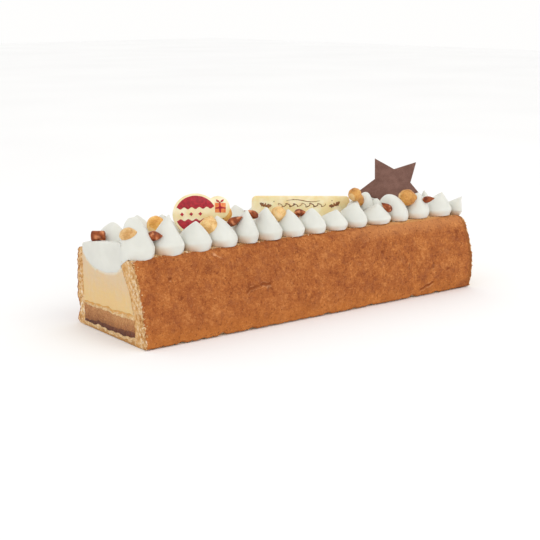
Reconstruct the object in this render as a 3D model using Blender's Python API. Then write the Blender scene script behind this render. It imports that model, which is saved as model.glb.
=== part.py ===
"""Long festive log cake: two sponge walls round mousse layers, a bed of whipped
cream, two rows of piped cream drops, nuts, chocolate chips, a star and two plaques.

Metres, +Z up. The log runs along X, its near side is -Y, and it stands on z = 0.
The origin is the middle of the log's footprint.
"""
import math

import bmesh
import bpy
import numpy as np
from mathutils import Matrix, Vector, noise

MM = 0.001

# Driving dimensions
LENGTH = 320 * MM
HALF_LENGTH = LENGTH / 2
WALL_HEIGHT = 62 * MM
FAR_WALL_HEIGHT = 59.6 * MM
SECTION_SHIFT = 0.2 * MM           # centres the bulging section on the origin
NEAR_BASE = -50.3 * MM
FAR_BASE = 50.3 * MM
GAP = 0.3 * MM                     # clearance between touching pieces

# The near wall leans in and bulges, more upright and rounder at the right end
NEAR_FLARE = (16.6 * MM, 10.7 * MM)
NEAR_BULGE = (2.6 * MM, 7.6 * MM)
NEAR_RIM_ROUND = (2.2 * MM, 5.0 * MM)
FAR_FLARE = 3.6 * MM
FAR_BULGE = (1.4 * MM, 4.4 * MM)
FAR_RIM_ROUND = 2.6 * MM
FOOT_ROUND = 1.2 * MM
CRUST_RELIEF = 0.55 * MM
RIM_RELIEF = 0.5 * MM
CREASE_DEPTH = 0.9 * MM
CREASE_WIDTH = 3.2 * MM
CREASES = ((52 * MM, 0.5), (78 * MM, -0.35), (96 * MM, 0.25))   # place and slant

# Inner faces of the walls
NEAR_INNER_Z = (0, 20 * MM, 38.5 * MM, 55 * MM, 62 * MM)
NEAR_INNER_Y = (-34.5 * MM, -34.5 * MM, -28.1 * MM, -17.8 * MM, -17.5 * MM)
FAR_INNER = 39.7 * MM

# Heights of the layer boundaries at the near wall, in the middle and at the far wall
LAYER_Y = (-34.5 * MM, 1 * MM, 39.7 * MM)
BASE_TOP = (5.0 * MM, 4.0 * MM, 3.6 * MM)
CHOCOLATE_TOP = (9.6 * MM, 7.3 * MM, 5.6 * MM)
PRALINE_TOP = (18.0 * MM, 17.2 * MM, 17.4 * MM)
DIVIDER_TOP = (21.6 * MM, 19.9 * MM, 18.9 * MM)
LAYER_WAVE = 0.25 * MM
WAVE_LENGTH = 6.5 * MM

# The cream bed lies in a bowl pressed into the mousse
BED_NEAR = -17.2 * MM
BED_FAR = 39.4 * MM
BOWL_RIM = (53.5 * MM, 58 * MM)      # at the near wall and at the far wall
BOWL_FLOOR = 47 * MM
BOWL_POWER = 2.8
BED_TOP = 62 * MM
CHANNEL_TOP = 66 * MM
CHANNEL_NEAR = -3.0 * MM
CHANNEL_FAR = 11.4 * MM
CHANNEL_SLOPE = 1.8 * MM
CHANNEL_RELIEF = 0.4 * MM
MOUND_REACH = 7.5 * MM             # how far the cream rises round a topping
MOUND_DEPTH = 0.36                 # how deep it sits, over its own size
END_STEP = (-152.9 * MM, -152.2 * MM)   # where the bed drops behind the left end
END_TOP = (67.4 * MM, 63.6 * MM)   # height of the left end, by the channel and the wall

# Piped drops: the width that each takes along its row, then how far its tip leans
# along and across the row and how high it stands above the cream
NEAR_ROW_START = -160 * MM
NEAR_WIDTHS = (23.5, 24.3, 23.6, 23.4, 18.3, 22.8, 21.3, 21.0,
               21.6, 20.4, 25.7, 20.1, 22.9, 25.8, 18.0)
NEAR_TIPS = ((5.0, 11.0, 26.0), (2.8, 2.2, 26.6), (0.0, -2.3, 20.1), (0.0, 4.3, 20.7),
             (0.0, -3.2, 24.0), (0.0, 1.0, 23.2), (0.0, 0.7, 19.4), (0.0, -1.8, 18.7),
             (0.2, -4.4, 15.2), (1.8, -0.5, 18.2), (0.4, -4.0, 15.5), (-2.4, 4.0, 20.4),
             (2.4, 0.5, 19.6), (2.6, -4.0, 18.7), (-3.5, -12.0, 15.2))
NEAR_ROW_Y = (-22.0 * MM, -27.0 * MM)
FAR_ROW_START = -151 * MM
FAR_WIDTHS = (22.4, 23.1, 22.7, 22.2, 23.3, 22.8, 22.1, 23.4,
              22.5, 22.9, 22.3, 23.2, 22.6, 22.8)
FAR_TIPS = ((0.0, -1.5, 15.8), (1.5, 1.8, 18.3), (-1.0, -0.6, 16.9), (0.5, 2.4, 18.7),
            (-1.5, -1.9, 16.3), (1.0, 0.8, 16.9), (0.0, -2.2, 18.1), (-0.5, 1.1, 16.7),
            (1.5, 0.4, 16.1), (-1.0, -1.6, 14.9), (0.5, 2.0, 12.4), (0.0, -0.9, 13.2),
            (-1.5, 1.4, 15.5), (0.0, 0.6, 14.7))
FAR_ROW_Y = (30.5 * MM, 30.5 * MM)
DROP_FRONT = 11.8 * MM             # reach of a drop towards the wall
DROP_BACK = 17.0 * MM              # reach of its tail towards the middle
DROP_SQUASH = 1.07                 # how far neighbours press into one another
DROP_FOOT = 0.84                   # foot radius over widest radius
DROP_WAIST = 0.25                  # height of the widest ring
DROP_TAPER = (1.35, 1.05)          # fullness of a low drop and of a tall one
DROP_HEIGHTS = (20 * MM, 26 * MM)
DROP_BEND = 1.6                    # how late the tip leans
DROP_SIDES = 12
DROP_RINGS = (0.0, 0.09, 0.25, 0.42, 0.60, 0.77, 0.91)

# Roasted hazelnuts: centre, width and turn about Z and Y
NUTS = (
    (-152.9, -18.6, 77.8, 12.8, -37, 10),
    (-114.8, 7.6, 76.6, 13.4, 25, 35),
    (-84.2, -18.0, 75.4, 15.2, 40, 60),
    (-49.2, 12.4, 77.0, 12.2, 10, -30),
    (-19.4, -18.2, 77.7, 12.6, 53, 0),
    (57.9, -18.7, 85.7, 10.8, 15, 20),
    (66.4, -13.2, 78.9, 9.4, -37, 60),
    (106.8, -28.6, 79.4, 13.8, -37, 0),
    (36.4, 10.4, 71.6, 12.6, 60, 15),
    (86.0, 5.2, 71.6, 13.0, -15, 40),
)
NUT_TAPER = 0.72
NUT_SIDES = 8
NUT_RINGS = 6
NUT_LENGTH = 1.12

# Chocolate chips: centre, length, height and turn about Z and Y
CHIPS = (
    (-154.6, 23.6, 70.2, 10.8, 8.4, -37, 0),
    (-135.3, -25.4, 75.4, 11.0, 7.8, -37, 0),
    (-64.8, -23.8, 78.4, 13.6, 6.8, -35, -28),
    (-47.0, -20.0, 81.2, 12.0, 6.4, 143, -24),
    (1.8, -19.2, 76.7, 10.6, 5.8, -40, 4),
    (80.4, -32.0, 74.7, 11.0, 6.4, 140, -40),
    (124.4, -35.2, 77.0, 10.4, 5.8, -37, -8),
    (60.6, 8.0, 69.4, 10.8, 6.8, 20, 0),
    (10.0, -0.4, 69.6, 10.4, 6.8, 75, 0),
)
CHIP_SIDES = 8

# Chocolate star, standing on one tip and leaning back
STAR_RADIUS = 30.2 * MM
STAR_WAIST = 0.53
STAR_THICKNESS = 3 * MM
STAR_CENTRE = (119.7 * MM, 5.0 * MM, 83.5 * MM)
STAR_YAW = math.radians(-45)
STAR_LEAN = math.radians(33.7)
STAR_ROLL = math.radians(-4.9)

# Message plaque, a rounded oblong along the channel
MESSAGE_SIZE = (87 * MM, 27 * MM, 2.6 * MM)
MESSAGE_CORNER = 4 * MM
MESSAGE_CENTRE = (20.6 * MM, 4.4 * MM, 71.6 * MM)
MESSAGE_YAW = math.radians(-12.6)
MESSAGE_LEAN = math.radians(6)
MESSAGE_ROLL = math.radians(-4)

# Festive plaque, a rounded bauble with a smaller lobe for a parcel
BAUBLE_SIZE = (17.5 * MM, 16.0 * MM)
LOBE_RADIUS = 9.0 * MM
LOBE_OFFSET = (17.5 * MM, 4.5 * MM)
FESTIVE_THICKNESS = 3 * MM
FESTIVE_CENTRE = (-80.0 * MM, 6.6 * MM, 80.6 * MM)
FESTIVE_YAW = math.radians(-26)
FESTIVE_LEAN = math.radians(16)
FESTIVE_SIDES = 30

WALL_STATIONS = 32
BED_STATIONS = 34

FINISHES = {
    "golden_sponge": ((0.42, 0.145, 0.048), 0.88),
    "pale_sponge": ((0.60, 0.36, 0.15), 0.90),
    "whipped_cream": ((0.82, 0.82, 0.77), 0.55),
    "vanilla_mousse": ((0.76, 0.57, 0.27), 0.60),
    "praline_mousse": ((0.46, 0.22, 0.11), 0.62),
    "dark_chocolate": ((0.12, 0.045, 0.024), 0.50),
    "hazelnut": ((0.62, 0.33, 0.10), 0.55),
    "milk_chocolate": ((0.22, 0.11, 0.08), 0.60),
    "glossy_chip": ((0.20, 0.055, 0.022), 0.25),
    "white_chocolate": ((0.86, 0.72, 0.45), 0.45),
}


def clear_scene():
    for item in list(bpy.data.objects):
        bpy.data.objects.remove(item, do_unlink=True)


def finish_material(name):
    """Return the named finish, made once."""
    material = bpy.data.materials.get(name)
    if material is None:
        material = bpy.data.materials.new(name)
        material.use_nodes = True
        colour, roughness = FINISHES[name]
        shader = material.node_tree.nodes["Principled BSDF"]
        shader.inputs["Base Color"].default_value = (*colour, 1.0)
        shader.inputs["Roughness"].default_value = roughness
        shader.inputs["Metallic"].default_value = 0.0
    return material


def add_object(name, mesh_edit, finish, smooth=True):
    """Turn a bmesh into a named object with its faces outward."""
    bmesh.ops.recalc_face_normals(mesh_edit, faces=mesh_edit.faces)
    mesh = bpy.data.meshes.new(name)
    mesh_edit.to_mesh(mesh)
    mesh_edit.free()
    if smooth:
        mesh.shade_smooth()
        mesh.set_sharp_from_angle(angle=math.radians(50))
    mesh.materials.append(finish_material(finish))
    item = bpy.data.objects.new(name, mesh)
    bpy.context.scene.collection.objects.link(item)
    return item


def loft(rings):
    """Join equal rings of points with quads and close both ends."""
    mesh_edit = bmesh.new()
    rows = [[mesh_edit.verts.new(point) for point in ring] for ring in rings]
    count = len(rows[0])
    for first, second in zip(rows, rows[1:]):
        for index in range(count):
            after = (index + 1) % count
            mesh_edit.faces.new((first[index], first[after], second[after], second[index]))
    mesh_edit.faces.new(rows[0])
    mesh_edit.faces.new(reversed(rows[-1]))
    return mesh_edit


def revolve(profile, sides):
    """Close a turned form whose profile lists (radius, height), tip points last."""
    mesh_edit = bmesh.new()
    rows = []
    for radius, height in profile:
        if radius < 1e-7:
            rows.append([mesh_edit.verts.new((0, 0, height))])
            continue
        angles = [2 * math.pi * step / sides for step in range(sides)]
        rows.append([mesh_edit.verts.new((radius * math.cos(a), radius * math.sin(a), height))
                     for a in angles])
    for low, high in zip(rows, rows[1:]):
        for index in range(sides):
            after = (index + 1) % sides
            if len(low) == 1:
                mesh_edit.faces.new((low[0], high[after], high[index]))
            elif len(high) == 1:
                mesh_edit.faces.new((low[index], low[after], high[0]))
            else:
                mesh_edit.faces.new((low[index], low[after], high[after], high[index]))
    if len(rows[0]) > 1:
        mesh_edit.faces.new(reversed(rows[0]))
    if len(rows[-1]) > 1:
        mesh_edit.faces.new(rows[-1])
    return mesh_edit


def cut_off(mesh_edit, point, direction):
    """Slice away what lies past a plane and close the cut."""
    parts = mesh_edit.verts[:] + mesh_edit.edges[:] + mesh_edit.faces[:]
    result = bmesh.ops.bisect_plane(mesh_edit, geom=parts, dist=1e-6, plane_co=point,
                                    plane_no=direction, clear_outer=True)
    rim = [part for part in result["geom_cut"] if isinstance(part, bmesh.types.BMEdge)]
    if rim:
        bmesh.ops.holes_fill(mesh_edit, edges=rim, sides=0)


def blend(pair, x):
    """Mix a left-end value into a right-end one along the log."""
    share = (x + HALF_LENGTH) / LENGTH
    return pair[0] + (pair[1] - pair[0]) * share


def relief(x, z, seed):
    """Low unevenness of the baked sponge skin."""
    broad = noise.noise(Vector((x / 0.034, seed, z / 0.026)))
    fine = noise.noise(Vector((x / 0.012, seed + 7, z / 0.011)))
    return CRUST_RELIEF * (broad + 0.5 * fine)


def crease(x, z):
    """Shallow slanting folds in the near skin, towards the right end."""
    depth = 0
    for centre, slant in CREASES:
        offset = (x - centre - slant * (z - WALL_HEIGHT / 2)) / CREASE_WIDTH
        depth += math.exp(-offset * offset) * math.sin(math.pi * min(1, z / WALL_HEIGHT))
    return CREASE_DEPTH * depth


def rim_arc(radius, steps):
    """Offsets (inward, downward) of a rounded corner, from its side to its top."""
    angles = [math.pi / 2 * step / steps for step in range(steps + 1)]
    return [(radius * (1 - math.cos(a)), radius * (1 - math.sin(a))) for a in angles]


def near_wall_ring(x):
    """Section of the near wall at x, from its inner foot round the outside."""
    flare = blend(NEAR_FLARE, x)
    bulge = blend(NEAR_BULGE, x)
    corner = blend(NEAR_RIM_ROUND, x)
    end_drop = 1.4 * MM * math.exp(-(x + HALF_LENGTH) / (9 * MM))
    rim = WALL_HEIGHT - end_drop - RIM_RELIEF * abs(noise.noise(Vector((x / 0.02, 3, 0))))

    def outside(z):
        share = z / WALL_HEIGHT
        face = NEAR_BASE + flare * share - 4 * bulge * share * (1 - share)
        return face - relief(x, z, 0) + crease(x, z)

    points = [(NEAR_INNER_Y[0], 0), (outside(0) + FOOT_ROUND, 0)]
    side_heights = [FOOT_ROUND + (rim - corner - FOOT_ROUND) * step / 8 for step in range(9)]
    points += [(outside(z), z) for z in side_heights]
    side = outside(rim - corner)
    points += [(side + inward, rim - down) for inward, down in rim_arc(corner, 3)[1:]]
    points.append((NEAR_INNER_Y[-1], rim))
    points += list(zip(reversed(NEAR_INNER_Y[1:-1]), reversed(NEAR_INNER_Z[1:-1])))
    return [Vector((x, y + SECTION_SHIFT, z)) for y, z in points]


def far_wall_ring(x):
    """Section of the far wall at x, thinner and more upright."""
    bulge = blend(FAR_BULGE, x)
    rim = FAR_WALL_HEIGHT - RIM_RELIEF * abs(noise.noise(Vector((x / 0.02, 9, 0))))

    def outside(z):
        share = z / FAR_WALL_HEIGHT
        face = FAR_BASE - FAR_FLARE * share + 4 * bulge * share * (1 - share)
        return face + relief(x, z, 20)

    points = [(FAR_INNER, 0), (outside(0) - FOOT_ROUND, 0)]
    side_heights = [FOOT_ROUND + (rim - FAR_RIM_ROUND - FOOT_ROUND) * step / 7 for step in range(8)]
    points += [(outside(z), z) for z in side_heights]
    side = outside(rim - FAR_RIM_ROUND)
    points += [(side - inward, rim - down) for inward, down in rim_arc(FAR_RIM_ROUND, 3)[1:]]
    points.append((FAR_INNER, rim))
    return [Vector((x, y + SECTION_SHIFT, z)) for y, z in reversed(points)]


def stations(count):
    return [-HALF_LENGTH + LENGTH * step / count for step in range(count + 1)]


def make_walls():
    near = loft([near_wall_ring(x) for x in stations(WALL_STATIONS)])
    far = loft([far_wall_ring(x) for x in stations(WALL_STATIONS)])
    add_object("sponge_near", near, "golden_sponge")
    add_object("sponge_far", far, "golden_sponge")


def near_inner(z):
    return float(np.interp(z, NEAR_INNER_Z, NEAR_INNER_Y))


def boundary(values, y):
    """Height of a layer boundary at y, with the slow wave of a hand-built cake."""
    wave = LAYER_WAVE * math.sin(y / WAVE_LENGTH)
    return float(np.interp(y, LAYER_Y, values)) + wave


def bowl(y):
    """Underside of the cream bed."""
    middle = (BED_NEAR + BED_FAR) / 2
    share = abs(y - middle) / ((BED_FAR - BED_NEAR) / 2)
    rim = BOWL_RIM[0] if y < middle else BOWL_RIM[1]
    return BOWL_FLOOR + (rim - BOWL_FLOOR) * min(1, share) ** BOWL_POWER


def add_layer(name, low, high, finish):
    """A layer that runs through the log between two boundary curves."""
    samples = 14
    near_low = near_inner(low(LAYER_Y[0])) + GAP
    near_high = near_inner(high(LAYER_Y[0] + GAP)) + GAP
    under = np.linspace(near_low, FAR_INNER - GAP, samples)
    over = np.linspace(near_high, FAR_INNER - GAP, samples)
    outline = [(y, low(y)) for y in under]
    outline += [(y, high(y)) for y in reversed(over)]
    ends = (-HALF_LENGTH, HALF_LENGTH)
    rings = [[Vector((x, y + SECTION_SHIFT, z)) for y, z in outline] for x in ends]
    add_object(name, loft(rings), finish)


def make_layers():
    add_layer("base_sponge", lambda y: 0.0, lambda y: boundary(BASE_TOP, y), "pale_sponge")
    add_layer("chocolate_layer", lambda y: boundary(BASE_TOP, y) + GAP,
              lambda y: boundary(CHOCOLATE_TOP, y), "dark_chocolate")
    add_layer("praline_mousse", lambda y: boundary(CHOCOLATE_TOP, y) + GAP,
              lambda y: boundary(PRALINE_TOP, y), "praline_mousse")
    add_layer("divider_sponge", lambda y: boundary(PRALINE_TOP, y) + GAP,
              lambda y: boundary(DIVIDER_TOP, y), "pale_sponge")
    make_vanilla_mousse()


def make_vanilla_mousse():
    """The tall pale layer, with the bowl of the cream bed pressed into its top."""
    near_foot = near_inner(DIVIDER_TOP[0]) + GAP
    outline = [(y, boundary(DIVIDER_TOP, y) + GAP)
               for y in np.linspace(near_foot, FAR_INNER - GAP, 14)]
    drop = 1.5 * GAP
    top_near = NEAR_INNER_Y[3] + 2 * GAP
    outline += [(y, bowl(y) - drop) for y in np.linspace(FAR_INNER - GAP, top_near, 16)]
    shoulder = BOWL_RIM[0] - 4 * GAP
    outline += [(near_inner(z) + GAP, z) for z in (shoulder, NEAR_INNER_Z[2])]
    ends = (-HALF_LENGTH, HALF_LENGTH)
    rings = [[Vector((x, y + SECTION_SHIFT, z)) for y, z in outline] for x in ends]
    add_object("vanilla_mousse", loft(rings), "vanilla_mousse")


def bed_top(x, y, mounds):
    """Top of the cream bed: flat under the drops, raised and lumpy between the rows."""
    rise = min(1, max(0, (y - CHANNEL_NEAR + CHANNEL_SLOPE) / CHANNEL_SLOPE))
    fall = min(1, max(0, (CHANNEL_FAR + CHANNEL_SLOPE - y) / CHANNEL_SLOPE))
    inside = min(rise, fall)
    height = CHANNEL_TOP + CHANNEL_RELIEF * noise.noise(Vector((x / 0.014, y / 0.012, 5)))
    for centre_x, centre_y, low in mounds:
        reach = ((x - centre_x) ** 2 + (y - centre_y) ** 2) / MOUND_REACH ** 2
        height = max(height, CHANNEL_TOP + (low - CHANNEL_TOP) * math.exp(-reach))
    end_height = float(np.interp(y, (CHANNEL_FAR, BED_FAR), END_TOP))
    at_end = y > CHANNEL_FAR and x <= END_STEP[0]
    return end_height if at_end else BED_TOP + (height - BED_TOP) * inside


def make_bed(mounds):
    """Cream bed between the walls, with a mound under each topping that stands high."""
    across = [BED_NEAR, CHANNEL_NEAR - CHANNEL_SLOPE]
    across += list(np.linspace(CHANNEL_NEAR, CHANNEL_FAR, 7))
    across += [CHANNEL_FAR + CHANNEL_SLOPE, (CHANNEL_FAR + BED_FAR) / 2, BED_FAR]
    under = np.linspace(BED_FAR, BED_NEAR, 11)
    rings = []
    for x in sorted(stations(BED_STATIONS) + list(END_STEP)):
        points = [(y, bed_top(x, y, mounds)) for y in across]
        points += [(y, bowl(y)) for y in under]
        rings.append([Vector((x, y + SECTION_SHIFT, z)) for y, z in points])
    return add_object("cream_bed", loft(rings), "whipped_cream")


def drop_radius(share, taper):
    """Radius of a piped drop over its widest radius, at a share of its height."""
    if share < DROP_WAIST:
        return DROP_FOOT + (1 - DROP_FOOT) * math.sin(math.pi / 2 * share / DROP_WAIST)
    climb = (share - DROP_WAIST) / (1 - DROP_WAIST)
    return 1 - climb ** taper


def piped_drop(name, left, width, row_y, inward, tip):
    """One piped drop of cream, tail drawn inward, pressed flat against its neighbours."""
    centre = left + width / 2
    along, across, height = [value * MM for value in tip]
    taper = float(np.interp(height, DROP_HEIGHTS, DROP_TAPER))
    profile = [(drop_radius(share, taper), share) for share in DROP_RINGS] + [(0, 1)]
    mesh_edit = revolve(profile, DROP_SIDES)
    half_width = width / 2 * DROP_SQUASH
    for vert in mesh_edit.verts:
        share = vert.co.z
        reach = DROP_BACK if vert.co.y * inward > 0 else DROP_FRONT
        bend = share ** DROP_BEND
        vert.co = Vector((centre + along * bend + vert.co.x * half_width,
                          row_y + across * bend + vert.co.y * reach + SECTION_SHIFT,
                          BED_TOP + GAP + share * height))
    limits = (max(left + GAP / 2, -HALF_LENGTH), min(left + width - GAP / 2, HALF_LENGTH))
    for place, side in zip(limits, (-1, 1)):
        cut_off(mesh_edit, Vector((place, 0, 0)), Vector((side, 0, 0)))
    return add_object(name, mesh_edit, "whipped_cream")


def make_row(label, start, row_y, inward, widths, tips):
    drops = []
    left = start
    for index, (width, tip) in enumerate(zip(widths, tips)):
        middle = min(HALF_LENGTH, left + width * MM / 2)
        drops.append(piped_drop(f"cream_drop_{label}_{index + 1:02d}", left, width * MM,
                                blend(row_y, middle), inward, tip))
        left += width * MM
    return drops


def make_rows():
    near = make_row("near", NEAR_ROW_START, NEAR_ROW_Y, 1, NEAR_WIDTHS, NEAR_TIPS)
    far = make_row("far", FAR_ROW_START, FAR_ROW_Y, -1, FAR_WIDTHS, FAR_TIPS)
    return near + far


def nut_profile(grow):
    """Turned outline of a hazelnut: round below, drawn to a blunt point above."""
    profile = []
    for ring in range(NUT_RINGS + 1):
        angle = math.pi * ring / NUT_RINGS
        height = -math.cos(angle) * NUT_LENGTH
        narrow = 1 - (1 - NUT_TAPER) * max(0, height) ** 2
        radius = math.sin(angle) * narrow if 0 < ring < NUT_RINGS else 0
        profile.append((radius * grow, height * grow))
    return profile


def hazelnut(name, row, extra=0.0):
    x, y, z, width, turn, tip = row
    radius = width * MM / 2
    mesh_edit = revolve(nut_profile(radius + extra), NUT_SIDES)
    place = Matrix.Translation((x * MM, y * MM + SECTION_SHIFT, z * MM))
    turn_z = Matrix.Rotation(math.radians(turn), 4, "Z")
    turn_y = Matrix.Rotation(math.radians(90 - tip), 4, "Y")
    mesh_edit.transform(place @ turn_z @ turn_y)
    return add_object(name, mesh_edit, "hazelnut")


def chip_profile(length, height, extra):
    """Turned outline of a teardrop chip lying on its side, point at the far end."""
    profile = [(0, -length / 2 - extra)]
    for share, radius in ((0.12, 0.70), (0.36, 1.0), (0.62, 0.82), (0.84, 0.42)):
        profile.append((radius * height / 2 + extra, -length / 2 + share * length))
    profile.append((0, length / 2 + extra))
    return profile


def chip(name, row, extra=0.0):
    x, y, z, length, height, turn, tip = row
    mesh_edit = revolve(chip_profile(length * MM, height * MM, extra), CHIP_SIDES)
    place = Matrix.Translation((x * MM, y * MM + SECTION_SHIFT, z * MM))
    turn_z = Matrix.Rotation(math.radians(turn), 4, "Z")
    turn_y = Matrix.Rotation(math.radians(90 + tip), 4, "Y")
    mesh_edit.transform(place @ turn_z @ turn_y)
    return add_object(name, mesh_edit, "glossy_chip")


def upright_frame(centre, yaw, lean, roll):
    """Matrix for a plate drawn in XZ that faces -Y, rolled, leaned back and turned."""
    return (Matrix.Translation(Vector(centre) + Vector((0, SECTION_SHIFT, 0)))
            @ Matrix.Rotation(yaw, 4, "Z")
            @ Matrix.Rotation(-lean, 4, "X")
            @ Matrix.Rotation(-roll, 4, "Y"))


def plate(name, outline, thickness, frame, finish):
    """Extrude an outline in XZ to a plate of even thickness."""
    rings = [[Vector((x, side * thickness / 2, z)) for x, z in outline] for side in (-1, 1)]
    mesh_edit = loft(rings)
    mesh_edit.transform(frame)
    return add_object(name, mesh_edit, finish, smooth=False)


def star_outline(extra):
    points = []
    for step in range(10):
        angle = math.radians(90 + 36 + 36 * step)
        radius = STAR_RADIUS if step % 2 == 0 else STAR_RADIUS * STAR_WAIST
        points.append(((radius + extra) * math.cos(angle), (radius + extra) * math.sin(angle)))
    return points


def star(name, extra=0.0):
    frame = upright_frame(STAR_CENTRE, STAR_YAW, STAR_LEAN, STAR_ROLL)
    return plate(name, star_outline(extra), STAR_THICKNESS + 2 * extra, frame, "milk_chocolate")


def oblong_outline(width, height, corner, steps=4):
    points = []
    for quarter in range(4):
        start = math.pi / 2 * quarter
        middle = start + math.pi / 4
        corner_x = math.copysign(width / 2 - corner, math.cos(middle))
        corner_z = math.copysign(height / 2 - corner, math.sin(middle))
        for step in range(steps + 1):
            angle = start + math.pi / 2 * step / steps
            points.append((corner_x + corner * math.cos(angle),
                           corner_z + corner * math.sin(angle)))
    return points


def message_plaque(name, extra=0.0):
    width, height, thickness = MESSAGE_SIZE
    outline = oblong_outline(width + 2 * extra, height + 2 * extra, MESSAGE_CORNER + extra)
    frame = upright_frame(MESSAGE_CENTRE, MESSAGE_YAW, MESSAGE_LEAN, MESSAGE_ROLL)
    return plate(name, outline, thickness + 2 * extra, frame, "white_chocolate")


def festive_outline(extra):
    """Outline of the bauble joined to its parcel lobe, as reach in each direction."""
    half_width, half_height = BAUBLE_SIZE
    points = []
    for step in range(FESTIVE_SIDES):
        angle = 2 * math.pi * step / FESTIVE_SIDES
        along = Vector((math.cos(angle), math.sin(angle)))
        reach = 1 / math.hypot(along.x / half_width, along.y / half_height)
        lobe = Vector(LOBE_OFFSET)
        forward = lobe.dot(along)
        aside = lobe.length_squared - forward * forward
        if forward > 0 and aside < LOBE_RADIUS ** 2:
            reach = max(reach, forward + math.sqrt(LOBE_RADIUS ** 2 - aside))
        points.append(tuple(along * (reach + extra)))
    return points


def festive_plaque(name, extra=0.0):
    frame = upright_frame(FESTIVE_CENTRE, FESTIVE_YAW, FESTIVE_LEAN, 0)
    return plate(name, festive_outline(extra), FESTIVE_THICKNESS + 2 * extra, frame,
                 "white_chocolate")


def box_of(item):
    corners = [item.matrix_world @ vert.co for vert in item.data.vertices]
    low = Vector([min(corner[axis] for corner in corners) for axis in range(3)])
    high = Vector([max(corner[axis] for corner in corners) for axis in range(3)])
    return low, high


def boxes_meet(first, second):
    (low_a, high_a), (low_b, high_b) = box_of(first), box_of(second)
    return all(low_a[axis] < high_b[axis] and low_b[axis] < high_a[axis] for axis in range(3))


def press_into(soft, cutters):
    """Leave the print of each hard topping in a soft piece."""
    for cutter in cutters:
        if not boxes_meet(soft, cutter):
            continue
        cut = soft.modifiers.new("print", "BOOLEAN")
        cut.operation = "DIFFERENCE"
        cut.solver = "EXACT"
        cut.object = cutter
        bpy.context.view_layer.update()
        graph = bpy.context.evaluated_depsgraph_get()
        mesh = bpy.data.meshes.new_from_object(soft.evaluated_get(graph))
        soft.modifiers.clear()
        soft.data = mesh
        soft.data.name = soft.name


def make_toppings():
    """Build the hard toppings, and a slightly larger cutter for each."""
    cutters = []
    for index, row in enumerate(NUTS):
        hazelnut(f"hazelnut_{index + 1:02d}", row)
        cutters.append(hazelnut(f"print_nut_{index + 1:02d}", row, GAP))
    for index, row in enumerate(CHIPS):
        chip(f"chocolate_chip_{index + 1:02d}", row)
        cutters.append(chip(f"print_chip_{index + 1:02d}", row, GAP))
    star("chocolate_star")
    cutters.append(star("print_star", GAP))
    message_plaque("message_plaque")
    cutters.append(message_plaque("print_message", GAP))
    festive_plaque("festive_plaque")
    cutters.append(festive_plaque("print_festive", GAP))
    return cutters


def topping_mounds():
    """Where the bed rises under a topping, as x, y and the height it rises to."""
    mounds = []
    for x, y, z, width, _, _ in NUTS:
        mounds.append((x * MM, y * MM, (z - MOUND_DEPTH * width) * MM))
    for x, y, z, _, height, _, _ in CHIPS:
        mounds.append((x * MM, y * MM, (z - MOUND_DEPTH * height) * MM))
    return mounds


def main():
    clear_scene()
    make_walls()
    make_layers()
    bed = make_bed(topping_mounds())
    drops = make_rows()
    cutters = make_toppings()
    for soft in [bed] + drops:
        press_into(soft, cutters)
    for cutter in cutters:
        bpy.data.objects.remove(cutter, do_unlink=True)


main()
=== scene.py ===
"""Festive log cake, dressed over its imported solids.

Metres, +Z up. The log runs along X, its near side is -Y, and it stands on z = 0.
"""
import math
import random

import bmesh
import bpy
import numpy as np
from mathutils import Matrix, Vector, noise


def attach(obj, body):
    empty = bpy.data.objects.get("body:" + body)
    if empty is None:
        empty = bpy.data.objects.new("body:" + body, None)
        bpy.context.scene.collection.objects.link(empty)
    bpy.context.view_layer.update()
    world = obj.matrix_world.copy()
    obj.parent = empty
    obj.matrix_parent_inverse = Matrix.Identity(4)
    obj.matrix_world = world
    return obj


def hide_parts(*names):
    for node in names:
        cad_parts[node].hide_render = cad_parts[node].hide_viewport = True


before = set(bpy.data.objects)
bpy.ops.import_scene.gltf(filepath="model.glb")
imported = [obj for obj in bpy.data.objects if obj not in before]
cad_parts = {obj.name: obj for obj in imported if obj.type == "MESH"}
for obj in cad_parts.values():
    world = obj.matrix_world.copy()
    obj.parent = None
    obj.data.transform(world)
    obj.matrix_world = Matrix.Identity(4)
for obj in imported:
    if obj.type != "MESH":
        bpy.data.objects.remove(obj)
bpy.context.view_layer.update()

MM = 0.001

# The log and its walls, as in the solids
LENGTH = 320 * MM
HALF_LENGTH = LENGTH / 2
WALL_HEIGHT = 62 * MM
FAR_WALL_HEIGHT = 59.6 * MM
SECTION_SHIFT = 0.2 * MM
NEAR_BASE = -50.3 * MM
FAR_BASE = 50.3 * MM
SEAM = 0.04 * MM                   # what is left open where two pieces touch
NEAR_FLARE = (16.6 * MM, 10.7 * MM)
NEAR_BULGE = (2.6 * MM, 7.6 * MM)
NEAR_RIM_ROUND = (2.2 * MM, 5.0 * MM)
FAR_FLARE = 3.6 * MM
FAR_BULGE = (1.4 * MM, 4.4 * MM)
FAR_RIM_ROUND = 2.6 * MM
FOOT_ROUND = 1.2 * MM
CRUST_RELIEF = 0.55 * MM
CRUST_SWELLS = ((34 * MM, 26 * MM, 0, 1.0), (12 * MM, 11 * MM, 7, 0.5))
RIM_RELIEF = 0.5 * MM
RIM_WAVE = 20 * MM
CREASE_DEPTH = 0.9 * MM
CREASE_WIDTH = 3.2 * MM
CREASES = ((52 * MM, 0.5), (78 * MM, -0.35), (96 * MM, 0.25))
NEAR_INNER_Z = (0, 20 * MM, 38.5 * MM, 55 * MM, 62 * MM)
NEAR_INNER_Y = (-34.5 * MM, -34.5 * MM, -28.1 * MM, -17.8 * MM, -17.5 * MM)
FAR_INNER = 39.7 * MM

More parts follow.
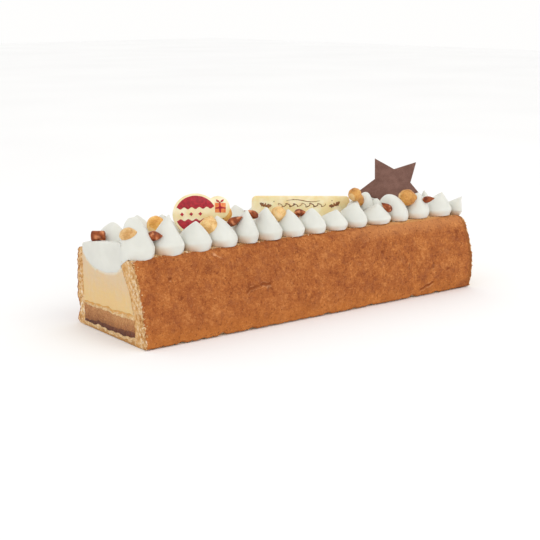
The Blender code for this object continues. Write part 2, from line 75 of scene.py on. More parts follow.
# Detail of the walls that the solids leave out
SKIN_SWELLS = ((5.2 * MM, 4.6 * MM, 2, 0.17 * MM), (2.1 * MM, 1.9 * MM, 4, 0.09 * MM))
END_DROP = 1.4 * MM                # how far the near rim drops at the near cut
END_DROP_REACH = 9 * MM
END_SLUMP = 2.2 * MM               # how far it sinks at the far end
SLUMP_REACH = 20 * MM
RIM_RAGGED = 0.35 * MM
RIM_RAGGED_SIZE = 2.6 * MM
RIM_TOP_ROUGH = 0.5 * MM
FOOT_LIFT = 0.35 * MM
FOOT_TEARS = ((3.4 * MM, 9 * MM, 0, 0.05), (1.6 * MM, 3 * MM, 5, 0.1))
CRUMBLE_REACH = 3 * MM             # how far from an end the crust's corner has crumbled
NEAR_CRUMBLE = (0.9 * MM, 2.2 * MM, 90)
FAR_CRUMBLE = (1.3 * MM, 2.4 * MM, 94)
WALL_CUT = (0.9 * MM, 2.2 * MM)    # depth and size of the crumb on the cut ends

# Heights of the layer boundaries at the near wall, in the middle and at the far wall
LAYER_Y = (-34.5 * MM, 1 * MM, 39.7 * MM)
BASE_TOP = (5.0 * MM, 4.0 * MM, 3.6 * MM)
CHOCOLATE_TOP = (9.6 * MM, 7.3 * MM, 5.6 * MM)
PRALINE_TOP = (18.0 * MM, 17.2 * MM, 17.4 * MM)
DIVIDER_TOP = (22.5 * MM, 20.9 * MM, 19.7 * MM)
LAYER_WAVE = 0.25 * MM
WAVE_LENGTH = 6.5 * MM
RAGGED = 0.38 * MM                 # roughness of a boundary between two layers
BOUNDARY_SWELL = 1.5 * MM
SWELL_LENGTH = 7.5 * MM

# The cream bed
BED_NEAR = -17.2 * MM
BED_FAR = 39.4 * MM
BOWL_RIM = (53.5 * MM, 58 * MM)    # at the near wall and at the far wall
BOWL_FLOOR = 47 * MM
BOWL_POWER = 2.8
BED_TOP = 62 * MM
CHANNEL_TOP = 66 * MM
CHANNEL_NEAR = -3.0 * MM
CHANNEL_FAR = 11.4 * MM
CHANNEL_SLOPE = 1.8 * MM
MOUND_REACH = 7.5 * MM
MOUND_DEPTH = 0.36
END_REACH = -152.5 * MM            # the bed stands higher from here to the near cut
END_BLEND = 1.2 * MM
END_TOP_Y = (-17.2 * MM, -8 * MM, 4 * MM, 11.4 * MM, 20.5 * MM, 28.5 * MM, 39.4 * MM)
END_TOP_Z = (71.4 * MM, 70.8 * MM, 69.4 * MM, 68.4 * MM, 67.4 * MM, 66.2 * MM, 63.4 * MM)

# Piped drops: width along the row, then lean along, lean across and height of the tip
NEAR_ROW_START = -160 * MM
NEAR_WIDTHS = (23.5, 24.3, 23.6, 23.4, 18.3, 22.8, 21.3, 21.0,
               21.6, 20.4, 25.7, 20.1, 22.9, 25.8, 18.0)
NEAR_TIPS = ((5.0, 11.0, 26.0), (2.8, 2.2, 26.6), (0.0, -2.3, 20.1), (0.0, 4.3, 20.7),
             (0.0, -3.2, 24.0), (0.0, 1.0, 23.2), (0.0, 0.7, 19.4), (0.0, -1.8, 18.7),
             (0.2, -4.4, 15.2), (1.8, -0.5, 18.2), (0.4, -4.0, 15.5), (-2.4, 4.0, 20.4),
             (3.4, 0.5, 19.8), (2.6, -4.0, 19.2), (-3.2, -12.0, 16.6))
NEAR_ROW_Y = (-22.0 * MM, -27.0 * MM)
FAR_ROW_START = -151 * MM
FAR_WIDTHS = (22.4, 23.1, 22.7, 22.2, 23.3, 22.8, 22.1, 23.4,
              22.5, 22.9, 22.3, 23.2, 22.6, 22.8)
FAR_TIPS = ((0.0, -1.5, 15.8), (1.5, 1.8, 18.3), (-1.0, -0.6, 16.9), (0.5, 2.4, 18.7),
            (-1.5, -1.9, 16.3), (1.0, 0.8, 16.9), (0.0, -2.2, 18.1), (-0.5, 1.1, 16.7),
            (1.5, 0.4, 16.1), (-1.0, -1.6, 14.9), (0.5, 2.0, 12.4), (0.0, -0.9, 13.2),
            (-1.5, 1.4, 15.5), (0.0, 0.6, 14.7))
FAR_ROW_Y = (30.5 * MM, 30.5 * MM)
# How fast a drop narrows, how far its tip is rounded off and its reach to the front, for
# drops that differ from the rest, by place in the row
NEAR_FORMS = {0: (1.0, 0.28, 1), 1: (0.92, 0.05, 1), 9: (1.4, 0.15, 0.97), 10: (1.2, 0.1, 1),
              11: (1.4, 0.72, 0.92), 12: (1.5, 0.2, 0.92), 13: (1.1, 0.05, 0.95),
              14: (1.15, 0, 0.97)}
FAR_FORMS = {0: (1.0, 0.34, 1)}
# Small curls of cream behind the near row: start, width, place across, height and rounding
CURLS = ((67.2, 14.0, -12.2, 22.9, 0.9), (52.4, 12.6, -16.0, 18.4, 0.8),
         (77.4, 13.6, -15.0, 17.0, 0.5), (131.8, 9.6, -18.0, 19.2, 0.15))
CURL_REACH = 7.5 * MM
CURL_TAPER = 1.3
DROP_FRONT = 13.0 * MM
DROP_BACK = 17.0 * MM
DROP_LIFT = 0.3 * MM
DROP_SQUASH = 1.06
DROP_SOFT = 0.72                   # where a drop begins to press against its neighbour
DROP_FOOT = 0.90
DROOP_PLACES = (-120 * MM, -60 * MM, 160 * MM)
DROP_DROOP = (1.6 * MM, 0.3 * MM, 0.0)  # how far the feet hang over the wall
DROOP_SHARE = 0.45
TIP_ROUND = 0.1                    # share of a dome in the usual drop
DOME_POWER = 2.6
END_SINK = 7.0 * MM                # how far the first drop runs down over the wall's cut
SINK_SHARE = 0.3
FLUSH = 0.1 * MM                   # how far inside the end planes the cream is sliced
DROP_WAIST = 0.25
DROP_TAPER = (1.3, 1.02)
DROP_HEIGHTS = (20 * MM, 26 * MM)
DROP_BEND = 1.6
DROP_HOOK = 0.9 * MM               # how far the thin end of a tip is drawn aside
HOOK_START = 0.8
DROP_LUMPS = ((0.035, 8 * MM, 0), (0.015, 3 * MM, 3))
LUMP_PITCH = 10 * MM
DROP_SIDES = 56
DROP_RINGS = 34
RING_EASE = 1.15
REFLECTION_SHARE = 0.26                  # how far up a drop the painted warm reflection of the crust reaches
REFLECTION_STRENGTH = 1.6

# Roasted hazelnuts: centre, width and turn about Z and Y, in millimetres and degrees
NUTS = (
    (-153.2, -18.8, 77.4, 12.4, -37, 10),
    (-114.8, 7.6, 76.6, 13.4, 25, 35),
    (-84.2, -18.0, 75.4, 15.2, 40, 60),
    (-49.2, 12.4, 77.0, 12.2, 10, -30),
    (-19.4, -18.2, 77.7, 12.6, 53, 0),
    (57.9, -18.7, 85.7, 10.8, 15, 20),
    (66.4, -13.2, 78.9, 9.4, -37, 60),
    (106.8, -28.6, 79.4, 13.8, -37, 0),
    (36.4, 10.4, 71.6, 12.6, 60, 15),
    (86.0, 5.2, 71.6, 13.0, -15, 40),
)
NUT_TONES = (0, 1, 2, 1, 2, 3, 3, 3, 0, 1)
HALF_NUTS = {0: 0.84, 2: 0.92}     # flatter nuts, by place in the list
NUT_TAPER = 0.72
NUT_LENGTH = 1.12
NUT_RINGS = 22
NUT_SIDES = 32
NUT_NIB = (0.05, 0.95, 0.17)       # length, start and reach of the point
NUT_FLATS = 7
NUT_FLAT_REACH = (0.89, 0.98)
NUT_PRESS = 0.8
NUT_RIBS = 11
RIB_DEPTH = 0.01
NUT_ROUGH = 0.035
NUT_ROUGH_SIZE = 2.4 * MM
SCAR_START = 0.92

# Chocolate chips: centre, length, height and turn about Z and Y
CHIPS = (
    (-154.6, 23.6, 70.2, 10.8, 8.4, -37, 0),
    (-135.3, -25.4, 75.4, 11.0, 7.8, -37, 0),
    (-64.8, -23.8, 78.4, 13.6, 6.8, -35, -28),
    (-48.2, -21.6, 81.6, 12.0, 6.4, 143, -24),
    (1.8, -19.2, 76.7, 10.6, 5.8, -40, 4),
    (80.4, -32.0, 74.7, 11.0, 6.4, 140, -40),
    (124.4, -35.2, 77.0, 10.4, 5.8, -37, -8),
    (60.6, 8.0, 69.4, 10.8, 6.8, 20, 0),
    (10.0, -0.4, 69.6, 10.4, 6.8, 75, 0),
)

# Radius of a chip along its length, as a share of the widest
POINTED_CHIP = ((0.03, 0.36), (0.08, 0.62), (0.16, 0.83), (0.26, 0.96), (0.36, 1.0),
                (0.48, 0.94), (0.60, 0.80), (0.71, 0.62), (0.81, 0.43), (0.90, 0.24),
                (0.96, 0.11))
BLOCK_CHIP = ((0.01, 0.55), (0.03, 0.80), (0.07, 0.93), (0.16, 1.0), (0.36, 0.98),
              (0.56, 0.97), (0.76, 1.0), (0.88, 0.96), (0.94, 0.84), (0.98, 0.62))
CHIP_SIDES = 24
CHIP_FLATS = 4
CHIP_FLAT_REACH = (0.7, 0.9)
CHIP_PRESS = 0.7
CHIP_ROUGH = 0.05
CHIP_ROUGH_SIZE = 3 * MM
GLINT_SIZE = 2.6 * MM
GLINT_GAIN = (5.5, 1.3)            # contrast and threshold of the painted glints

# Chocolate star, message plaque and festive plaque
STAR_RADIUS = 30.2 * MM
STAR_WAIST = 0.53
STAR_THICKNESS = 3 * MM
STAR_EDGE = 0.4 * MM
STAR_PLACE = ((119.7 * MM, 5.0 * MM, 83.5 * MM), -45, 33.7, -4.9)
MESSAGE_SIZE = (87 * MM, 27 * MM, 2.6 * MM)
MESSAGE_CORNER = 4 * MM
MESSAGE_PLACE = ((20.6 * MM, 4.4 * MM, 71.6 * MM), -12.6, 6, -4)
BAUBLE_SIZE = (17.5 * MM, 16.0 * MM)
LOBE_RADIUS = 9.0 * MM
LOBE_OFFSET = (17.5 * MM, 4.5 * MM)
FESTIVE_THICKNESS = 3 * MM
FESTIVE_PLACE = ((-80.0 * MM, 6.6 * MM, 80.6 * MM), -26, 16, 0)
PLAQUE_EDGE = 0.6 * MM
PRINT_THICKNESS = 0.22 * MM
PRINT_SUNK = 0.05 * MM
PRINT_EDGE = 0.08 * MM
BAND_INSET = 1.8 * MM
BAND_WAVE = 1.6 * MM
PARCEL_AT = (19.0 * MM, 4.6 * MM)

# Marks on the near crust: place along and up, length, width, turn and depth
PITS = (
    (-67.4, 30.0, 6.5, 1.9, 20, 0.85),
    (-61.4, 31.6, 2.6, 2.2, 0, 0.8),
    (-53.0, 32.2, 7.0, 2.0, -6, 1.0),
    (-51.5, 28.6, 3.4, 1.6, 70, 0.75),
    (-133.4, 46.4, 1.3, 1.4, 0, 1.0),
    (63.0, 41.7, 1.6, 1.3, 70, 0.8),
    (66.6, 36.0, 1.4, 1.2, 20, 0.7),
    (76.3, 46.5, 2.6, 1.0, 80, 0.8),
    (85.8, 34.0, 2.2, 1.3, 90, 0.7),
    (115.8, 25.2, 3.4, 1.5, 86, 1.0),
    (89.4, 26.4, 3.2, 1.2, 86, 0.9),
    (132.2, 19.8, 2.2, 1.6, 10, 0.8),
    (105.0, 7.0, 6.0, 1.7, 24, 0.9),
    (112.5, 9.4, 7.0, 1.5, 16, 1.0),
    (-15.0, 52.9, 2.4, 1.8, 10, 0.4),
)
# Darker patches on the near crust: place along and up, reach and strength
SHADES = (
    (-99.5, 50.0, 5.0, 0.9), (-72.0, 43.0, 6.5, 0.6), (-119.1, 10.0, 6.0, 0.5),
    (-86.5, 22.0, 5.0, 0.5), (-145.5, 60.5, 5.0, 0.7), (-60.0, 26.0, 5.0, 0.6),
    (-110.9, 57.4, 3.0, 0.5), (60.0, 47.0, 5.0, 0.5), (153.0, 1.0, 7.0, 1.6),
    (110.0, 6.0, 6.0, 0.7), (20.0, 30.0, 6.0, 0.4), (-14.0, 53.0, 3.0, 0.8),
    (130.0, 3.0, 5.0, 0.7), (-135.0, 3.0, 5.0, 0.5), (116.0, 38.5, 3.6, 0.8),
    (105.0, 15.6, 4.2, 0.7), (82.0, 35.7, 2.6, 0.8),
)
FLAKE = (-93.0, 58.6, -87.6, 55.2)
FLAKE_WIDTH = (1.6, 0.5)
RIDGE = ((24.7, 44.2), (32.7, 47.1), (39.8, 49.2), (48.0, 52.0), (59.4, 53.8), (73.4, 53.0),
         (86.6, 53.5))
RIDGE_WIDTH = 4.6 * MM
RIDGE_HEIGHT = 0.9 * MM

PIT_DEPTH = 0.8 * MM
FLAKE_HEIGHT = 0.35 * MM

# Where the far wall is torn away at the near cut: height, reach up, reach along and depth
TORN = (12.5 * MM, 5.0 * MM, 9.0 * MM, 4.4 * MM)
TORN_ROUGH = 1.2 * MM

# Loose crumbs: along the near rim, on both walls at the near cut and at the far end
RIM_CRUMBS = 240
NEAR_CUT_CRUMBS = 120
FAR_CUT_CRUMBS = 50
END_CRUMBS = 60
CRUMB_PROUD = 0.2 * MM

# Camera: place, then yaw, pitch and roll
CAMERA_AT = (-0.5728, -0.7492, 0.2390)
CAMERA_TURN = (0.93049, 0.22062, -0.00425)
LENS = 80
SENSOR = 36
FLOOR_DROP = 0.3 * MM


def tint(red, green, blue):
    """Linear colour of a screen colour given as 0 to 255."""
    parts = [part / 255 for part in (red, green, blue)]
    return (*[part / 12.92 if part <= 0.04045 else ((part + 0.055) / 1.055) ** 2.4
              for part in parts], 1.0)


class Value:
    """A socket of a finish that joins in Python arithmetic."""

    def __init__(self, finish, socket):
        self.finish = finish
        self.socket = socket

    def math(self, operation, *terms):
        return self.finish.node("ShaderNodeMath", {"operation": operation},
                                dict(enumerate(terms)))

    def __add__(self, other):
        return self.math("ADD", self, other)

    def __sub__(self, other):
        return self.math("SUBTRACT", self, other)

    def __rsub__(self, other):
        return self.math("SUBTRACT", other, self)

    def __mul__(self, other):
        return self.math("MULTIPLY", self, other)

    __radd__ = __add__
    __rmul__ = __mul__

    def fade(self, low, high):
        """0 below low, 1 above high, smooth between."""
        return self.finish.node("ShaderNodeMapRange", {"interpolation_type": "SMOOTHSTEP"},
                                {0: self, 1: low, 2: high})


class Finish:
    """A named material on one Principled shader."""

    def __init__(self, name, levels):
        self.material = bpy.data.materials.new(name)
        self.material.use_nodes = True
        self.tree = self.material.node_tree
        self.shader = self.tree.nodes["Principled BSDF"]
        for label, level in levels.items():
            self.shader.inputs[label].default_value = level
        self.here = self.node("ShaderNodeTexCoord", {}, {}, "Object")

    def node(self, kind, settings, sockets, output=0):
        item = self.tree.nodes.new(kind)
        for label, setting in settings.items():
            if label == "stops":
                stops = item.color_ramp.elements
                stops[0].position, stops[0].color = setting[0]
                stops[-1].position, stops[-1].color = setting[-1]
                for place, colour in setting[1:-1]:
                    stops.new(place).color = colour
            else:
                setattr(item, label, setting)
        for label, value in sockets.items():
            if isinstance(value, Value):
                self.tree.links.new(value.socket, item.inputs[label])
            else:
                item.inputs[label].default_value = value
        return Value(self, item.outputs[output])

    def noise(self, size, detail=2.0, rough=0.5, stretch=(1, 1, 1), warp=0.0):
        """Unevenness round 0.5 with features of the given size."""
        spot = self.node("ShaderNodeVectorMath", {"operation": "MULTIPLY"},
                         {0: self.here, 1: stretch})
        return self.node("ShaderNodeTexNoise", {},
                         {"Vector": spot, "Scale": 1 / size, "Detail": detail,
                          "Roughness": rough, "Distortion": warp})

    def cells(self, size):
        """Distance to the nearest of many scattered points, over the given size."""
        return self.node("ShaderNodeTexVoronoi", {"feature": "SMOOTH_F1"},
                         {"Vector": self.here, "Scale": 1 / size, "Smoothness": 0.4})

    def reading(self, label):
        """A number stored on the mesh."""
        return self.node("ShaderNodeAttribute", {"attribute_name": label}, {}, "Fac")

    def axis(self, name):
        return self.node("ShaderNodeSeparateXYZ", {}, {0: self.here}, name)

    def mix(self, share, first, second):
        settings = {"data_type": "RGBA", "clamp_factor": True}
        return self.node("ShaderNodeMix", settings, {0: share, 6: first, 7: second}, 2)

    def ramp(self, value, *stops):
        return self.node("ShaderNodeValToRGB", {"stops": stops}, {0: value})

    def colour(self, value):
        self.tree.links.new(value.socket, self.shader.inputs["Base Color"])

    def roughness(self, value):
        self.tree.links.new(value.socket, self.shader.inputs["Roughness"])

    def bump(self, height, depth, strength=1.0):
        normal = self.node("ShaderNodeBump", {},
                           {"Strength": strength, "Distance": depth, "Height": height})
        self.tree.links.new(normal.socket, self.shader.inputs["Normal"])


def crumb_colour(finish):
    """Open crumb of a cut sponge: whitish and golden by turns, with toasted bits."""
    clumps = finish.cells(2.9 * MM)
    shreds = finish.noise(2.1 * MM, 4, 0.62)
    broad = finish.noise(8 * MM, 2, 0.5)
    tone = clumps * 0.34 + shreds * 0.62 + broad * 0.4
    colour = finish.ramp(tone,
                         (0.50, tint(244, 224, 196)), (0.64, tint(230, 194, 144)),
                         (0.76, tint(212, 162, 102)), (0.92, tint(172, 112, 60)))
    toasted = finish.noise(2.4 * MM, 2, 0.5, (1, 1.3, 0.8))
    return finish.mix(toasted.fade(0.60, 0.68) * 0.55, colour, tint(158, 96, 48))


def crust_finish():
    """Browned skin of the sponge, and crumb where it was cut."""
    finish = Finish("browned_sponge", {"Roughness": 0.88, "Specular IOR Level": 0.22})
    patches = finish.noise(14 * MM, 2, 0.5, warp=0.3)
    spots = finish.noise(3.8 * MM, 3, 0.6, (1, 1, 0.75))
    weave = finish.noise(1.9 * MM, 3, 0.6, (0.8, 1, 1.2))
    grain = finish.noise(0.9 * MM, 2, 0.6)
    tone = patches * 0.24 + spots * 0.30 + weave * 0.28 + grain * 0.18
    colour = finish.ramp(tone,
                         (0.385, tint(138, 72, 34)), (0.465, tint(165, 93, 45)),
                         (0.535, tint(182, 109, 54)), (0.615, tint(206, 134, 74)))
    bruise = finish.noise(6.0 * MM, 2, 0.5, (1, 1, 0.9)).fade(0.54, 0.68)
    colour = finish.mix(bruise * 0.36, colour, tint(140, 78, 50))
    near_end = 1 - finish.axis("X").fade(-HALF_LENGTH, 90 * MM)
    colour = finish.mix(near_end * 0.14, colour, tint(150, 76, 32))
    low = 1 - finish.axis("Z").fade(0.5 * MM, 18 * MM)
    colour = finish.mix(low * 0.42, colour, tint(206, 128, 54))
    broad = finish.noise(26 * MM, 1, 0.4)
    colour = finish.mix(broad.fade(0.45, 0.62) * 0.16, colour, tint(142, 74, 40))
    rim = finish.axis("Z").fade(49 * MM, 60 * MM) * finish.axis("X").fade(10 * MM, 80 * MM)
    colour = finish.mix(rim * 0.42, colour, tint(220, 154, 98))
    edge = finish.axis("Z").fade(60 * MM, 61.4 * MM) * finish.axis("X").fade(55 * MM, 100 * MM)
    colour = finish.mix(edge * 0.6, colour, tint(224, 172, 108))
    tail = finish.axis("X").fade(155.4 * MM, 157.6 * MM)
    colour = finish.mix(tail * 0.55, colour, tint(132, 78, 34))
    shade = (finish.reading("shade") + (spots - 0.5) * 0.8).fade(0.15, 1.0)
    colour = finish.mix(shade * 0.5, colour, tint(126, 62, 30))
    freckle = finish.noise(1.0 * MM, 2, 0.6, (1, 1, 1.2)).fade(0.56, 0.70) * 0.4
    colour = finish.mix(freckle, colour, tint(218, 150, 92))
    nick = (1 - finish.noise(1.4 * MM, 2, 0.5, (1, 1, 0.7)).fade(0.31, 0.39)) * 0.7
    colour = finish.mix(nick, colour, tint(128, 64, 28))
    # Pale skin of the flake, and painted highlight along the fold and beside the tears
    pale = (finish.reading("pale") + (weave - 0.5) * 0.7).fade(0.25, 1.0)
    colour = finish.mix(pale * 0.75, colour, tint(230, 170, 122))
    # Painted shade in the tears and pores of the crust
    pit = (finish.reading("pit") + (weave - 0.5) * 0.9).fade(0.25, 0.9)
    colour = finish.mix(pit * 0.78, colour, tint(130, 62, 20))
    inside = (finish.reading("depth") + (spots - 0.5) * 1.6).fade(0.35, 1.1)
    deep = finish.reading("depth").fade(4.0, 12.0)
    crumb = finish.mix(deep * 0.38, crumb_colour(finish), tint(214, 160, 92))
    finish.colour(finish.mix(inside, colour, crumb))
    holes = finish.cells(2.4 * MM) * inside * -1.4
    finish.bump(weave * 0.8 + grain * 0.6 - nick * 0.5 - pit * 0.8 + holes, 0.7 * MM, 0.8)
    return finish.material


def pale_sponge_finish(name, toast, share, above):
    """Thin sheet of sponge between the fillings, toasted in its upper or lower part."""
    finish = Finish(name, {"Roughness": 0.9, "Specular IOR Level": 0.25})
    rise = finish.reading("rise") if above else 1 - finish.reading("rise")
    band = rise + (finish.noise(3.4 * MM, 3, 0.6, (1, 0.7, 1.5)) - 0.5) * 2.2
    soaked = band.fade(0.42, 0.74) * share
    colour = finish.mix(0.5, crumb_colour(finish), tint(234, 204, 156))
    finish.colour(finish.mix(soaked, colour, toast))
    finish.bump(finish.cells(2.2 * MM) * -1.0 + finish.noise(0.8 * MM, 2, 0.6), 0.8 * MM, 0.9)
    return finish.material


def mousse_finish(name, stops, streak, grit=0.3, sheen=0.55, smear=0.0):
    """Cut mousse: fine bubbles, faint drag marks of the knife and cream smeared on its top."""
    finish = Finish(name, {"Roughness": sheen, "Specular IOR Level": 0.3,
                           "Subsurface Weight": 0.15, "Subsurface Scale": 1.5 * MM})
    drag = finish.noise(5.5 * MM, 3, 0.55, (1, 1, 0.3))
    pull = finish.noise(4.0 * MM, 2, 0.55, (1, 0.2, 1.2))
    bubbles = finish.noise(1.1 * MM, 4, 0.65)
    broad = finish.noise(14 * MM, 1, 0.5)
    low, high = streak
    height = finish.axis("Z").fade(low, high)
    tone = (height * 0.6 + (drag - 0.5) * 0.5 + (pull - 0.5) * 0.4 + (bubbles - 0.5) * grit
            + broad * 0.35)
    smeared = (finish.reading("rise") + (drag - 0.5) * 0.12).fade(0.91, 1.0) * smear
    finish.colour(finish.mix(smeared, finish.ramp(tone, *stops), tint(224, 218, 202)))
    finish.bump(drag * 0.6 + pull * 0.4 + bubbles * 0.6, 0.5 * MM, 0.6)
    return finish.material


def cream_finish():
    """Whipped cream, with a painted warm reflection of the crust low on the left of each drop."""
    finish = Finish("whipped_cream", {"Roughness": 0.5, "Specular IOR Level": 0.3,
                                      "Subsurface Weight": 0.45, "Subsurface Scale": 4 * MM,
                                      "Subsurface Radius": (1.0, 0.95, 0.85)})
    clouds = finish.noise(16 * MM, 2, 0.5)
    fine = finish.noise(1.6 * MM, 3, 0.55)
    colour = finish.ramp(clouds, (0.35, tint(217, 217, 209)), (0.65, tint(224, 224, 216)))
    # Painted warm reflection of the crust, mixed into the cream low on each drop
    finish.colour(finish.mix(finish.reading("warm") * 0.6, colour, tint(216, 168, 120)))
    finish.roughness(fine * 0.24 + 0.4)
    finish.bump(clouds * 0.6 + fine * 0.22, 0.5 * MM, 0.5)
    return finish.material


def hazelnut_finish(name, light, middle, dark):
    """Roasted nut: lengthwise grain, a paler scar and shreds of browned skin."""
    finish = Finish(name, {"Roughness": 0.5, "Specular IOR Level": 0.4,
                           "Subsurface Weight": 0.08, "Subsurface Scale": 1 * MM})
    broad = finish.noise(5.5 * MM, 2, 0.5, warp=0.5)
    fine = finish.noise(1.0 * MM, 3, 0.6)
    tone = broad * 0.7 + fine * 0.3
    colour = finish.ramp(tone, (0.36, dark), (0.50, middle), (0.62, light))
    skin = finish.noise(2.4 * MM, 3, 0.6, warp=1.0).fade(0.62, 0.70)
    colour = finish.mix(skin * 0.35, colour, tint(168, 108, 54))
    scar = finish.reading("scar")
    finish.colour(finish.mix(scar * 0.65, colour, tint(238, 204, 148)))
    finish.bump(broad * 0.5 + fine * 0.4 - skin * 0.1, 0.5 * MM, 0.6)
    return finish.material


def chip_finish():
    """Glossy chocolate with painted glints of highlight in its colour."""
    finish = Finish("glossy_chocolate", {"Roughness": 0.3, "Specular IOR Level": 0.26,
                                         "Coat Weight": 0.06, "Coat Roughness": 0.2})
    broad = finish.noise(3.5 * MM, 2, 0.5)
    colour = finish.ramp(broad, (0.38, tint(108, 42, 10)), (0.62, tint(158, 76, 28)))
    # Painted glints: pale spots of highlight mixed into the colour
    colour = finish.mix(finish.reading("crest") * 0.72, colour, tint(232, 152, 104))
    finish.colour(colour)
    finish.roughness(finish.noise(1.2 * MM, 3, 0.6) * 0.25 + 0.2)
    finish.bump(finish.noise(2.2 * MM, 2, 0.5), 0.4 * MM, 0.6)
    return finish.material


def star_finish():
    """Chocolate plate with a dusty bloom, its dark colour lifted by a painted sheen of the bright
    room.
    """
    finish = Finish("chocolate_with_painted_sheen", {"Roughness": 0.62, "Specular IOR Level": 0.3})
    bloom = finish.noise(7 * MM, 3, 0.6)
    dust = finish.noise(0.7 * MM, 2, 0.7)
    tone = bloom * 0.6 + dust * 0.4
    # Dark chocolate lightened by a painted sheen of the bright room
    colour = finish.ramp(tone, (0.38, tint(106, 72, 61)), (0.62, tint(130, 94, 82)))
    finish.colour(finish.mix(dust.fade(0.66, 0.76) * 0.5, colour, tint(168, 138, 128)))
    finish.bump(dust * 0.5 + bloom * 0.3, 0.25 * MM, 0.5)
    return finish.material


def white_chocolate_finish():
    finish = Finish("white_chocolate", {"Roughness": 0.42, "Specular IOR Level": 0.4,
                                        "Subsurface Weight": 0.12,
                                        "Subsurface Scale": 1.5 * MM})
    broad = finish.noise(12 * MM, 2, 0.5)
    fine = finish.noise(1.1 * MM, 2, 0.6)
    finish.colour(finish.ramp(broad, (0.38, tint(240, 220, 162)), (0.62, tint(250, 240, 206))))
    finish.roughness(fine * 0.3 + 0.26)
    finish.bump(broad * 0.5 + fine * 0.2, 0.3 * MM, 0.5)
    return finish.material


def print_finish(name, light, deep):
    """Coloured cocoa butter printed on a plaque, a little uneven."""
    finish = Finish(name, {"Roughness": 0.4, "Specular IOR Level": 0.4})
    broad = finish.noise(2.2 * MM, 2, 0.6)
    finish.colour(finish.ramp(broad, (0.36, tint(*deep)), (0.64, tint(*light))))
    finish.bump(broad, 0.15 * MM, 0.5)
    return finish.material


def floor_finish():
    finish = Finish("pale_floor", {"Roughness": 0.9, "Specular IOR Level": 0.1})
    soft = finish.noise(0.4, 1, 0.5)
    finish.colour(finish.ramp(soft, (0.3, tint(250, 250, 250)), (0.7, tint(253, 253, 253))))
    return finish.material


def make_piece(name, points, faces, finish, stands_for=(), sharp=50, readings=None):
    """Turn points and faces into a piece with its faces outward."""
    mesh = bpy.data.meshes.new(name)
    mesh.from_pydata([tuple(point) for point in points], [], faces)
    mesh_edit = bmesh.new()
    mesh_edit.from_mesh(mesh)
    bmesh.ops.recalc_face_normals(mesh_edit, faces=mesh_edit.faces)
    mesh_edit.to_mesh(mesh)
    mesh_edit.free()
    for label, values in (readings or {}).items():
        layer = mesh.attributes.new(label, "FLOAT", "POINT")
        layer.data.foreach_set("value", values)
    mesh.shade_smooth()
    mesh.set_sharp_from_angle(angle=math.radians(sharp))
    mesh.materials.append(finish)
    piece = bpy.data.objects.new(name, mesh)
    bpy.context.scene.collection.objects.link(piece)
    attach(piece, "root")
    if stands_for:
        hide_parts(*stands_for)


def join(parts):
    """One list of points and one of faces from several."""
    all_points = []
    all_faces = []
    for points, faces in parts:
        offset = len(all_points)
        all_points += points
        all_faces += [tuple(offset + corner for corner in face) for face in faces]
    return all_points, all_faces


def lattice(xs, ss, ts, place):
    """Skin of a block of cells: place(x, s, t) gives the point and its readings."""
    last = (len(xs) - 1, len(ss) - 1, len(ts) - 1)
    index = {}
    points = []
    readings = []

    def spot(cell):
        if cell not in index:
            index[cell] = len(points)
            point, values = place(xs[cell[0]], ss[cell[1]], ts[cell[2]])
            points.append(point)
            readings.append(values)
        return index[cell]

    faces = []
    for axis in range(3):
        first, second = [other for other in range(3) if other != axis]
        for end in (0, last[axis]):
            for a in range(last[first]):
                for b in range(last[second]):
                    corners = []
                    for step_a, step_b in ((0, 0), (1, 0), (1, 1), (0, 1)):
                        cell = [end, end, end]
                        cell[first] = a + step_a
                        cell[second] = b + step_b
                        corners.append(spot(tuple(cell)))
                    faces.append(corners)
    labels = readings[0].keys()
    return points, faces, {label: [values[label] for values in readings] for label in labels}


def steps(count):
    return [step / count for step in range(count + 1)]


def along(count, fine_ends):
    """Stations along the log, with extra ones just inside both ends."""
    places = [-HALF_LENGTH + LENGTH * step / count for step in range(count + 1)]
    for step in range(1, fine_ends + 1):
        inset = 0.35 * MM * step
        places += [-HALF_LENGTH + inset, HALF_LENGTH - inset]
    return sorted(places)


def blend(pair, x):
    share = (x + HALF_LENGTH) / LENGTH
    return pair[0] + (pair[1] - pair[0]) * share


def wobble(x, y, z, size, seed):
    return noise.noise(Vector((x / size + seed, y / size, z / size)))


def wobbles(x, y, z, *parts):
    """Sum of several, each given by its depth, size and seed."""
    return sum(depth * wobble(x, y, z, size, seed) for depth, size, seed in parts)


def end_relief(x, y, z, depth, size):
    """How far a point of a cut end lies inside the end plane."""
    if abs(x) < HALF_LENGTH - 0.01 * MM:
        return x
    rough = abs(wobble(x, y, z, size, 3)) + 0.6 * abs(wobble(x, y, z, size * 0.45, 8))
    return math.copysign(HALF_LENGTH - depth * rough, x)


def swells(x, z, seed, parts):
    """Unevenness of a wall: size along, size up, shift of the seed and depth of each part."""
    return sum(depth * noise.noise(Vector((x / long, seed + shift, z / high)))
               for long, high, shift, depth in parts)


def relief(x, z, seed):
    """Unevenness of the baked skin, with its finer dimples and pebbling."""
    return CRUST_RELIEF * swells(x, z, seed, CRUST_SWELLS) + swells(x, z, seed, SKIN_SWELLS)


def crease(x, z):
    depth = 0
    for centre, slant in CREASES:
        offset = (x - centre - slant * (z - WALL_HEIGHT / 2)) / CREASE_WIDTH
        depth += math.exp(-offset * offset) * math.sin(math.pi * min(1, z / WALL_HEIGHT))
    return CREASE_DEPTH * depth


def pit_at(x, z):
    """Depth share of the small tears and pores of the near crust."""
    deepest = 0
    for centre_x, centre_z, length, width, turn, depth in PITS:
        dx, dz = x / MM - centre_x, z / MM - centre_z
        if abs(dx) + abs(dz) > length + 3:
            continue
        cos, sin = math.cos(math.radians(turn)), math.sin(math.radians(turn))
        run = max(0, abs(dx * cos + dz * sin) - length / 2)
        bow = 0.3 * math.sin(0.9 * (dx * cos + dz * sin) + centre_x)
        side = dz * cos - dx * sin - bow * min(1, length / 5)
        deepest = max(deepest, depth * math.exp(-(run * run + side * side) / (0.55 * width ** 2)))
    return deepest


